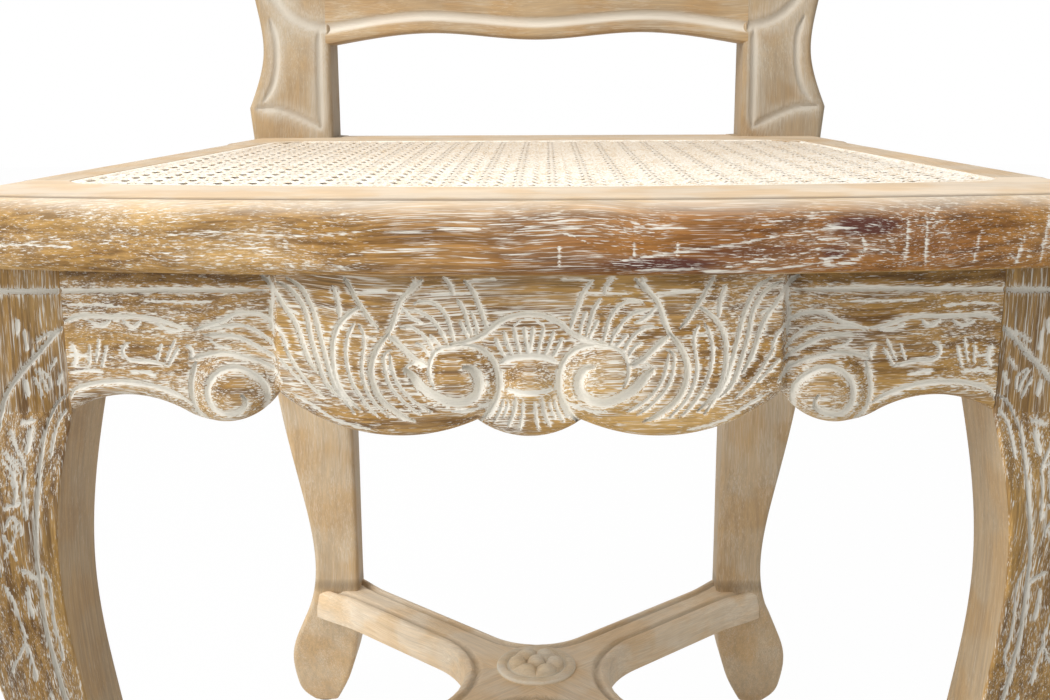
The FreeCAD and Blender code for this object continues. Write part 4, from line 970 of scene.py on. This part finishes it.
def makeFrontRail():
    a = noseRail
    joint = seatJoints()[0]
    x = np.linspace(0, seat["frontHalf"], 300)
    corner = np.array([seat["frontHalf"], seat["bow"] - noseDepth])
    nose = np.stack([x, arcHeight(x, (-corner[0], corner[1]), (0, -noseDepth), corner)], axis=1)
    sideEnd = np.array([seatSide(joint), joint])
    bend = roundedCorner(nose[-60], corner, sideEnd, seat["corner"], 24)
    right = np.concatenate([nose[nose[:, 0] < bend[0, 0]], bend, [sideEnd]])
    half = a["stations"] // 2
    right = evenly(right, half)
    ahead = fieldRight(caneRing, 600)[:300]
    last = [np.interp(joint, ahead[:, 1], ahead[:, 0]), joint]
    edge = evenly(np.concatenate([ahead[ahead[:, 1] < joint], [last]]), half)
    outerLine = np.concatenate([right[:0:-1] * flip, right])
    innerLine = np.concatenate([edge[:0:-1] * flip, edge])
    thick = seat["top"] - seat["under"]
    flat, across, depth = bandLoops(innerLine, outerLine, thick, a["faceCount"], a["edgeCount"],
                                    seat["topRound"], seat["underRound"])
    width = np.linalg.norm(outerLine - innerLine, axis=1)[:, None]
    fx, fz = flat[..., 0], seat["top"] - depth
    outside = (depth > 1.5) & (depth < thick - 0.5) & (across > width / 2)
    marks, paste = carve(fx, fz, noseMarks)
    wearAndShade = seat["wear"] * (1 + np.sin(fx * 0.045) + 0.6 * np.sin(fx * 0.11 + 1.3))
    sunk = np.where(outside, marks + np.clip(wearAndShade, 0, 1), 0)
    unit = (outerLine - innerLine) / width
    flat = flat - sunk[..., None] * unit[:, None, :]
    line = np.abs(width - across - a["lineInset"])
    top = smoothStep(depth, 0.5, 0.1) * (across < width - a["lineInset"] + 1)
    depth = depth + np.where(depth < 0.5, 0.7 * channel(line, 0.9), 0)
    loops = onSeat(flat, -depth)
    heart = np.zeros_like(fx)
    for cx, cz, long, high, strength in heartClouds:
        heart = np.maximum(heart, strength * np.exp(-((fx - cx) / long) ** 2 - ((fz - cz) / high) ** 2))
    # painted light: the top and the rounded upper arris take the lighter even colour and some paste, over
    # the real liming; the fine line gets painted shade in its groove
    rim = smoothStep(depth, 8.0, 0.8) * (across > width - a["lineInset"])
    tags = {"paste": np.maximum(np.where(outside, 0.6 * paste, 0), 0.32 * rim),
            "bare": (depth > thick - 2) * 0.8, "heart": np.where(outside, heart, 0),
            "paintedLight": np.maximum(0.9 * top, 0.65 * rim), "shade": channel(line, 1.1) * (depth < 1.5)}
    return carried("seatFrontRail", loops, tags, limedNose, ["seat_front_rail"])


# Side rails: the same band, straight, from the front joint to the rear one.
def makeSideRail(sign, side):
    start, end = seatJoints()
    y = np.linspace(start, end, 60)
    opening = fieldRight(caneRing, 800)
    turn = np.argmax(opening[:, 1])
    innerLine = np.stack([np.interp(y, opening[:turn, 1], opening[:turn, 0]), y], axis=1)
    outerLine = np.stack([seatSide(y), y], axis=1)
    thick = seat["top"] - seat["under"]
    flat, across, depth = bandLoops(innerLine, outerLine, thick, noseRail["faceCount"],
                                    noseRail["edgeCount"], seat["topRound"], seat["underRound"])
    loops = onSeat(flat, -depth)
    loops[..., 0] *= sign
    # painted light: the top takes the lighter even colour; the underside is bare
    tags = {"paintedLight": 0.8 * (depth < 0.5), "bare": (depth > thick - 2) * 0.8}
    return carried("seatRail" + side.capitalize(), loops, tags, limedSide, ["seat_%s_rail" % side])


makeFrontRail()
for sign, side in bothSides:
    makeSideRail(sign, side)
print("seat frame made")


# Crest rail: band between the opening's head and the frame's outline, laid on the tilted back.
crest = {"stations": 260, "faceCount": 40, "edgeCount": 8, "round": 5.0, "groove": 9.0, "grooveHalf": 1.5,
         "grooveDepth": 1.5}


# Flat (x, z) places and depths behind the face as points on the tilted back.
def onBack(flat, depth):
    y = backY(flat[..., 1]) + depth / math.cos(back["tilt"])
    return np.stack([flat[..., 0], y, flat[..., 1]], axis=-1)


def makeCrest():
    a = crest
    joint = back["joint"]
    outline, opening = outerRight(), openingRight()
    lines = []
    for line, rising in ((outline, outline[:250]), (opening, opening)):
        start = [[np.interp(joint, rising[:, 1], rising[:, 0]), joint]]
        half = evenly(np.concatenate([start, line[line[:, 1] >= joint]]), a["stations"] // 2)
        lines.append(np.concatenate([half, half[-2::-1] * flip]))
    outerLine, innerLine = lines
    width = np.linalg.norm(outerLine - innerLine, axis=1)
    flat, across, depth = bandLoops(innerLine, outerLine, back["thick"], a["faceCount"], a["edgeCount"],
                                    a["round"], a["round"])
    line = np.abs(width[:, None] - across - a["groove"])
    face = depth < a["round"]
    depth = depth + np.where(face, a["grooveDepth"] * channel(line, a["grooveHalf"]), 0)
    tags = {"paste": np.where(face, smoothStep(line / a["grooveHalf"], 1.25, 0.55), 0)}
    return carried("crestRail", onBack(flat, depth), tags, limedRail, ["crest_rail"])


# Lower back rail: at each x a loop from the shaped lower edge up the face to the opening's sill.
lowRail = {"half": 151.4, "columns": 190, "rows": 56, "thick": 24.0, "groove": 11.5, "cove": 3.8,
           "coveDepth": 2.2, "round": 3.0}
lowRailEdge = [(-148, 533.4), (-75, 542), (0, 537), (75, 542), (148, 533.4)]


def makeLowRail():
    a = lowRail
    x = np.linspace(-a["half"], a["half"], a["columns"])
    low = spline(*zip(*lowRailEdge), x)
    side, ring = openingRight()[:120], openingRight(caneRing)[:120]
    high = np.interp(np.abs(x), side[:, 0], side[:, 1])
    sill = np.interp(np.abs(x), ring[:, 0], ring[:, 1])
    pz = between(low, high, np.linspace(0, 1, a["rows"]))
    rise = pz - low[:, None]
    cut = a["coveDepth"] * channel(rise - a["groove"], a["cove"]) + roundOver(rise, a["round"], a["round"])
    white = smoothStep(np.abs(rise - a["groove"]) / a["cove"], 1.25, 0.5)
    rebate = pz > sill[:, None]
    down = np.linspace(1, 0, 10)[1:]
    z = np.concatenate([pz, spread(high, 3), between(low, high, down), spread(low, 2)], axis=1)
    rest = np.array([8.0, 16.0, a["thick"]] + [a["thick"]] * len(down) + [16.0, 8.0])
    depth = np.concatenate([np.where(rebate, caneFit["rebate"], cut), np.tile(rest, (len(x), 1))], axis=1)
    flat = np.stack([spread(x, z.shape[1]), z], axis=-1)
    tags = {"paste": onFace(np.where(rebate, 0, white), z)}
    return carried("lowerBackRail", onBack(flat, depth), tags, limedRail, ["lower_back_rail"])


makeCrest()
makeLowRail()
print("back frame made")


# Side aprons: at each y a loop of outer face, underside, back and top, the face with a groove
# that follows the shaped lower edge.
sideApron = {"front": 67.0, "rear": 432.0, "inset": 8.0, "thick": 22.0, "columns": 240, "rows": 60,
             "groove": 8.0, "grooveHalf": 1.4, "grooveDepth": 1.4, "roll": 4.0}
sideEdge = [((67, 376), (116, 389), (165, 383)), ((165, 383), (249.5, 374), (334, 383)),
            ((334, 383), (383, 389), (432, 383))]
sideStrokes = [
    ([(67, 429), (160, 429), (300, 429), (432, 429)], 2.6, 1.4),
    ([(238, 381), (242, 392), (249.5, 399), (257, 392), (261, 381)], 2.6, 1.6),
    ([(249.5, 378), (249.5, 392)], 2.0, 1.2),
    ([(228, 384), (222, 396), (208, 404), (190, 404), (176, 398)], 2.6, 1.5),
    ([(271, 384), (277, 396), (291, 404), (309, 404), (323, 398)], 2.6, 1.5),
    ([(232, 390), (226, 402), (212, 412), (190, 414)], 2.2, 1.3),
    ([(267, 390), (273, 402), (287, 412), (309, 414)], 2.2, 1.3)]


def makeSideApron(sign, side):
    a = sideApron
    y = np.linspace(a["front"], a["rear"], a["columns"])
    low = np.full_like(y, sideEdge[0][0][1])
    for start, middle, end in sideEdge:
        low = np.where((y >= start[0]) & (y <= end[0]), arcHeight(y, start, middle, end), low)
    top = np.full_like(y, apron["top"])
    py = spread(y, a["rows"])
    pz = between(top, low, np.linspace(0, 1, a["rows"]))
    depth, white = carve(py, pz, sideStrokes)
    rise = pz - low[:, None]
    line = np.abs(rise - a["groove"])
    depth = np.maximum(depth, a["grooveDepth"] * channel(line, a["grooveHalf"]))
    white = np.maximum(white, smoothStep(line / a["grooveHalf"], 1.25, 0.55))
    faceX = seatSide(py) - a["inset"] - depth - roundOver(rise, a["roll"], a["roll"])
    rear = seatSide(y) - a["inset"] - a["thick"]
    under, up = np.linspace(0, 1, 6)[1:], np.linspace(0, 1, 7)[1:]
    x = np.concatenate([faceX, between(faceX[:, -1], rear, under), spread(rear, len(up))], axis=1)
    z = np.concatenate([pz, spread(low, len(under)), between(low, top, up)], axis=1)
    loops = np.stack([sign * x, spread(y, x.shape[1]), z], axis=-1)
    tags = {"paste": onFace(white, x), "bare": onFace(np.zeros_like(white), x, 0.8)}
    return carried("sideApron" + side.capitalize(), loops, tags, limedSide, ["side_apron_" + side])


for sign, side in bothSides:
    makeSideApron(sign, side)
print("side aprons made")


# Stretcher: four arms from the hub, with rounded notches between them. An arm's two edges run from
# the notches' inmost points along their arcs and then straight to its leg, where they flare a
# little. Points are set out between the two edges, and fold round the hub's middle where the arm
# begins. The top has a groove along the rim and an eased arris.
stretcher = {"top": 116.0, "thick": 23.0, "half": 17.0, "notch": 42.0, "sideNotch": 66.0, "flare": 4.5,
             "flareLength": 42.0, "front": (205.0, 56.0), "rear": (160.0, 447.0), "hubY": 302.33,
             "groove": 8.0, "grooveHalf": 2.6, "grooveDepth": 2.4, "ease": 4.0, "easeDepth": 3.0,
             "rows": 41, "bendCount": 26, "straightCount": 50}
hub = np.array([0, stretcher["hubY"]])


# One edge of an arm: the notch's arc from its inmost point, then a line to the tip.
def armEdge(way, nextWay, radius, length):
    a = stretcher
    middle = (way + nextWay) / np.linalg.norm(way + nextWay)
    slope = math.acos(float(way @ nextWay)) / 2
    centre = hub + middle * (a["half"] + radius) / math.sin(slope)
    side = nextWay - way * float(way @ nextWay)
    side = side / np.linalg.norm(side)
    touch = centre - side * radius
    tip = hub + way * length + side * a["half"]
    bend = arcPoints(centre, centre - middle * radius, touch, a["bendCount"])
    run = np.linspace(0, 1, a["straightCount"])[1:, None]
    flare = a["flare"] * smoothStep(run, 1 - a["flareLength"] / math.dist(touch, tip), 1)
    return np.concatenate([bend, touch + run * (tip - touch) + flare * side])


# Direction and length of each arm, from the hub to its leg.
def armWays():
    corners = (("front", 1), ("rear", 1), ("rear", -1), ("front", -1))
    arms = [np.array(stretcher[key]) * np.array([sign, 1]) - hub for key, sign in corners]
    lengths = [float(np.linalg.norm(arm)) for arm in arms]
    return [arm / length for arm, length in zip(arms, lengths)], lengths


# Radius of the notch between two arms: the hub's sides have the wider one.
def notchBetween(way, nextWay):
    return stretcher["sideNotch"] if way[0] * nextWay[0] > 0 else stretcher["notch"]


def makeBars():
    a = stretcher
    ways, lengths = armWays()
    edges = []
    for k in range(4):
        before, after = ways[k - 1], ways[(k + 1) % 4]
        edges.append((armEdge(ways[k], before, notchBetween(ways[k], before), lengths[k]),
                      armEdge(ways[k], after, notchBetween(ways[k], after), lengths[k])))
    rim = np.concatenate([evenly(edge, 400) for pair in edges for edge in pair])
    for side, own in (("left", (3, 1)), ("right", (0, 2))):
        points, faces, ends, shades = [], [], [], []
        for k in own:
            right, left = edges[k]
            stations = len(right)
            t = np.linspace(0, 1, a["rows"])
            fold = np.clip(1 - np.arange(stations) / a["bendCount"], 0, 1) ** 2
            tent = 1 - np.abs(2 * t - 1)
            pull = hub - (right[0] + left[0]) / 2
            plan = right[:, None] + t[None, :, None] * (left - right)[:, None]
            plan = plan + (fold[:, None] * tent)[..., None] * pull
            margin = np.sqrt(((plan.reshape(-1, 1, 2) - rim) ** 2).sum(axis=2).min(axis=1))
            margin = margin.reshape(plan.shape[:2])
            line = np.abs(margin - a["groove"])
            cut = a["grooveDepth"] * channel(line, a["grooveHalf"])
            cut = cut + a["easeDepth"] * np.clip(1 - margin / a["ease"], 0, 1) ** 2
            top = np.concatenate([plan, (a["top"] - cut)[..., None]], axis=-1)
            foot = plan[:, ::-4]
            floorZ = np.full((*foot.shape[:2], 1), a["top"] - a["thick"])
            loops = np.concatenate([top, np.concatenate([foot, floorZ], axis=-1)], axis=1)
            around = loops.shape[1]
            start = sum(len(part) for part in points)
            points.append(loops.reshape(-1, 3))
            faces.append(gridFaces(stations, around) + start)
            ends += [np.arange(around)[::-1] + start, np.arange(around) + (stations - 1) * around + start]
            # painted shade in the groove along the rim
            shades.append(onFace(0.5 * channel(line, a["grooveHalf"] + 0.2), loops).ravel())
        name = "Bar" + side.capitalize()
        grain = math.atan2(ways[own[1]][1], ways[own[1]][0])
        # the bars' even colour is made lighter than the posts', painted light for the shade under the seat,
        # with some of their own paler colour
        wood = limedWood("limedStretcher" + name, grain, 1.0, 0.8, 0.43, (0.82, 0.69, 0.52))
        tags = {"shade": np.concatenate(shades)}
        addPiece("stretcher" + name, np.concatenate(points), np.concatenate(faces), ends, tags, wood,
                 ["stretcher_bar_" + side])


makeBars()

# Rosette: a low boss of revolution whose dome is drawn into round petals about a button, inside a
# raised ring. Rings of points run out from the middle, each height a function of radius and angle.
rosette = {"radius": 27.0, "lip": 1.2, "plate": 1.6, "crown": 7.0, "petals": 6, "petalLow": 1.0,
           "button": 6.5, "leaf": 19.0, "ring": 23.6, "ringHalf": 3.4, "ringHigh": 1.8, "rings": 46,
           "spokes": 128}


def makeRosette():
    a = rosette
    flatEnd = a["radius"] - a["lip"]
    r = np.concatenate([np.linspace(0.4, flatEnd, a["rings"]),
                        flatEnd + a["lip"] * np.sin(np.linspace(0.3, math.pi / 2, 5))])
    angle = np.linspace(0, 2 * math.pi, a["spokes"], endpoint=False)
    pr, pa = np.meshgrid(r, angle, indexing="ij")
    lobe = np.abs(np.cos(pa * a["petals"] / 2)) ** 0.7
    middle = (a["button"] + a["leaf"]) / 2
    petal = (a["crown"] - a["petalLow"]) * dome((pr - middle) / (a["leaf"] - middle)) * (0.35 + 0.65 * lobe)
    button = a["crown"] * dome(pr / a["button"])
    ring = a["ringHigh"] * dome((pr - a["ring"]) / a["ringHalf"])
    height = a["plate"] + np.maximum(np.maximum(petal, button), ring)
    top = np.stack([hub[0] + pr * np.cos(pa), hub[1] + pr * np.sin(pa), stretcher["top"] + height], axis=-1)
    base = top[-1:].copy()
    base[..., 2] = stretcher["top"]
    paste = np.concatenate([smoothStep(height, 3.2, 1.7), np.zeros((1, a["spokes"]))])
    loops = np.concatenate([top, base])
    return carried("stretcherRosette", loops, {"paste": paste}, limedBoss, ["stretcher_rosette"])


makeRosette()
print("stretcher made")


# Woven cane: pairs of strands run both ways and single strands run on both diagonals, so that
# eight-sided holes are left. A strand is a flat four-sided tube along a straight line, clipped to
# the field, whose height waves as it passes over and under the others.
cane = {"pitch": 15.65, "pair": 1.75, "width": 3.2, "thick": 1.1, "wave": 0.55, "step": 3.9, "tuck": 2.5,
        "shortest": 6.0, "sink": 1.1, "seatMiddle": 214.0, "backMiddle": 770.0}


# Where lines through points with a direction enter and leave a convex outline.
def clipLines(origins, way, outline):
    after = np.roll(outline, -1, axis=0)
    side = after - outline
    normal = np.stack([side[:, 1], -side[:, 0]], axis=1)
    room = ((outline[None] - origins[:, None]) * normal[None]).sum(axis=2)
    rate = normal @ way
    t = room / np.where(np.abs(rate) < 1e-9, 1e-9, rate)
    leave = np.where(rate > 1e-9, t, np.inf).min(axis=1)
    enter = np.where(rate < -1e-9, t, -np.inf).max(axis=1)
    return enter, leave


# Strands over an outline as one mesh. A family of strands has places, a direction, a kind and a
# lift. Uprights lie level, the others wave as the cosine of x over the pitch.
def caneStrands(outline, centre):
    a = cane
    p = a["pitch"]
    count = int(np.ptp(outline, axis=0).max() / p + 2) + 3
    steps = ((np.arange(-2 * count, 2 * count + 1) + 0.5) * p)[:, None]
    k = steps[count:-count]
    alongX, alongY = np.array([1.0, 0.0]), np.array([0.0, 1.0])
    parts = []
    families = []
    for offset in (-a["pair"], a["pair"]):
        lift = math.copysign(a["wave"], offset)
        families.append((centre + (k + offset) * alongX, alongY, "up", lift))
        families.append((centre + (k + offset) * alongY, alongX, "across", lift))
    slant = math.sqrt(0.5)
    families.append((centre + steps * alongX, slant * (alongX + alongY), "slanted", 1.0))
    families.append((centre + steps * alongX, slant * (alongX - alongY), "slanted", -1.0))
    for origins, way, kind, lift in families:
        enter, leave = clipLines(origins, way, outline)
        for origin, t0, t1 in zip(origins, enter, leave):
            if t1 - t0 < a["shortest"]:
                continue
            t = np.linspace(t0, t1, max(int((t1 - t0) / a["step"]), 2) + 1)
            line = origin + t[:, None] * way
            phase = 2 * math.pi * (line - centre) / p
            if kind == "up":
                height = lift * 0.5 + 0 * t
            elif kind == "across":
                height = -lift * 0.5 * np.cos(phase[:, 0])
            else:
                height = -lift * 1.5 * a["wave"] * np.cos(phase[:, 0])
            across = np.array([way[1], -way[0]]) * a["width"] / 2
            ring = [(line + across, height), (line, height + a["thick"] / 2), (line - across, height),
                    (line, height - a["thick"] / 2)]
            loop = np.stack([np.concatenate([flat, level[:, None]], axis=1) for flat, level in ring], axis=1)
            faces = gridFaces(len(t), 4)
            caps = np.array([[3, 2, 1, 0], np.arange(4) + 4 * (len(t) - 1)])
            parts.append((loop.reshape(-1, 3), np.concatenate([faces, caps])))
    return gathered(parts)


# Strip that wedges the cane: a low arched profile carried round the field's edge.
def splineStrip(name, outline, place, node):
    angle = np.linspace(0, math.pi, 8)
    normal = offsetLine(outline, 1.0, closed=True) - outline
    width = caneFit["spline"] + 0.8
    across = np.concatenate([np.cos(angle) * width / 2, [-width / 2, width / 2]])
    height = np.concatenate([np.sin(angle) * 1.2 - 1.1, [-2.2, -2.2]])
    flat = outline[:, None, :] + across[None, :, None] * normal[:, None, :]
    loops = place(flat, np.repeat(height[None, :], len(outline), axis=0))
    return carried(name, loops, {}, splineMaterial, [node], ring=True)


# Heights before the tilted back's face.
def raisedOnBack(flat, height):
    return onBack(flat, -height)


def makeSeatCane():
    outline = mirrorLoop(fieldRight(caneFit["spline"] - cane["tuck"]))
    points, faces = caneStrands(outline, np.array([0.0, cane["seatMiddle"]]))
    points[:, 2] += seat["top"] - cane["sink"]
    splineStrip("seatSpline", mirrorLoop(fieldRight(caneFit["spline"] / 2)), onSeat, "seat_spline")
    # painted shade: the seat cane is painted greyer towards the rear
    tags = {"shade": smoothStep(points[:, 1], 60, 340)}
    return addPiece("seatCane", points, faces, [], tags, caneMaterial, ["seat_cane"])


def makeBackCane():
    right = openingRight(caneFit["ledge"] + cane["tuck"], 200)
    points, faces = caneStrands(mirrorLoop(right), np.array([0.0, cane["backMiddle"]]))
    flat = onBack(points[:, :2], cane["sink"] - points[:, 2])
    middle = mirrorLoop(openingRight(caneFit["ledge"] + caneFit["spline"] / 2, 240))
    splineStrip("backSpline", middle, raisedOnBack, "back_spline")
    return addPiece("backCane", flat, faces, [], {}, caneMaterial, ["back_cane"])


makeSeatCane()
makeBackCane()
print("cane woven")

# CAD nodes that stay: give each its finish
block = plainStuff("blockWood", (0.50, 0.33, 0.17), (0.66, 0.48, 0.28), (60, 60, 900), 0.7)
beech = plainStuff("dowelBeech", (0.60, 0.42, 0.24), (0.72, 0.54, 0.33), (200, 200, 40), 0.6)
steel = plainStuff("screwSteel", (0.42, 0.41, 0.39), (0.55, 0.54, 0.52), (300, 300, 300), 0.35, 1.0)
plastic = plainStuff("glidePlastic", (0.16, 0.11, 0.08), (0.20, 0.14, 0.10), (800, 800, 800), 0.5)
kept = {"seat_rear_rail": limedRear, "rear_apron": limedRail}
for corner in ("front_left", "front_right", "rear_left", "rear_right"):
    kept["corner_block_" + corner] = block
    kept["foot_glide_" + corner] = plastic
for name in ("seat_dowels", "crest_dowels", "stretcher_dowels"):
    kept[name] = beech
for name in ("leg_screws", "seat_screws", "rosette_screw"):
    kept[name] = steel
for name, material in kept.items():
    mesh = nodes[name].data
    mesh.materials.clear()
    mesh.materials.append(material)
print("finishes given to", len(kept), "CAD nodes")

# Camera: the photograph's pinhole, near the seat's front edge and looking a little down
view = {"x": 6.61, "ahead": 486.0, "height": 517.5, "pitch": 12.76, "yaw": -0.97, "roll": 0.26,
        "focal": 1250.0, "frameWidth": 1050.0}
pitch, yaw, roll = (math.radians(view[key]) for key in ("pitch", "yaw", "roll"))
ahead = np.array([math.sin(yaw) * math.cos(pitch), math.cos(yaw) * math.cos(pitch), -math.sin(pitch)])
rightWay = np.array([math.cos(yaw), -math.sin(yaw), 0])
downWay = np.cross(ahead, rightWay)
turnedRight = math.cos(roll) * rightWay + math.sin(roll) * downWay
turnedDown = -math.sin(roll) * rightWay + math.cos(roll) * downWay
camera = bpy.data.objects.new("camera", bpy.data.cameras.new("camera"))
scene.collection.objects.link(camera)
camera.data.sensor_width = 36.0
camera.data.lens = view["focal"] / view["frameWidth"] * 36.0
place = np.array([view["x"], frontLine - view["ahead"], view["height"]]) * mm
axes = np.stack([turnedRight, -turnedDown, -ahead], axis=1)
camera.matrix_world = Matrix([[*axes[k], place[k]] for k in range(3)] + [[0, 0, 0, 1]])
camera.data.clip_start = 0.02
camera.data.clip_end = 50
scene.camera = camera

# Floor and light: a pale floor that shows nearly white to the eye but keeps a faint shadow
studio = {"floorHalf": 6.0, "ambient": 0.48, "keyPower": 36.0, "fillPower": 11.0, "floorGlow": 0.985}
half = studio["floorHalf"]
floorMesh = bpy.data.meshes.new("floor")
corners = [(-half, -half, 0), (half, -half, 0), (half, half, 0), (-half, half, 0)]
floorMesh.from_pydata(corners, [], [(0, 1, 2, 3)])
floor = bpy.data.objects.new("floor", floorMesh)
scene.collection.objects.link(floor)


# 1 for rays from the camera, from a gloss or through glass, else 0.
def seenDirectly(n):
    ray = n.make("ShaderNodeLightPath")
    seen = n.math("MAXIMUM", ray.outputs["Is Camera Ray"], ray.outputs["Is Glossy Ray"])
    return n.math("MAXIMUM", seen, ray.outputs["Is Transmission Ray"])


floorMaterial, n, shader = newMaterial("paleFloor")
shader.inputs["Base Color"].default_value = (0.80, 0.79, 0.77, 1)
shader.inputs["Roughness"].default_value = 0.9
glow = n.make("ShaderNodeEmission", {"Color": (1, 1, 1, 1), "Strength": 1.0}).outputs[0]
share = n.math("MULTIPLY", seenDirectly(n), studio["floorGlow"])
mixed = n.make("ShaderNodeMixShader", {0: share, 1: shader.outputs[0], 2: glow}).outputs[0]
n.tree.links.new(mixed, n.tree.nodes["Material Output"].inputs["Surface"])
floorMesh.materials.append(floorMaterial)

world = bpy.data.worlds.new("studio")
world.use_nodes = True
scene.world = world
n = Nodes(world.node_tree)
background = world.node_tree.nodes["Background"]
background.inputs["Color"].default_value = (1, 1, 1, 1)
strength = n.math("MULTIPLY_ADD", seenDirectly(n), 1.0 - studio["ambient"], studio["ambient"])
n.tree.links.new(strength, background.inputs["Strength"])


# Square lamp at a position, turned to face a target.
def softLight(name, power, size, position, target):
    lamp = bpy.data.lights.new(name, "AREA")
    lamp.energy = power
    lamp.size = size
    item = bpy.data.objects.new(name, lamp)
    scene.collection.objects.link(item)
    away = np.array(position, float) - np.array(target, float)
    away = away / np.linalg.norm(away)
    sideways = np.cross([0, 0, 1], away)
    sideways = sideways / np.linalg.norm(sideways)
    upWay = np.cross(away, sideways)
    turn = np.stack([sideways, upWay, away], axis=1)
    item.matrix_world = Matrix([[*turn[k], position[k]] for k in range(3)] + [[0, 0, 0, 1]])


softLight("keyLight", studio["keyPower"], 1.2, (-0.9, -0.75, 1.9), (0, 0, 0.45))
softLight("fillLight", studio["fillPower"], 1.4, (-1.3, -1.5, 0.55), (0, 0.1, 0.2))
scene.view_settings.view_transform = "Standard"
print("studio set")
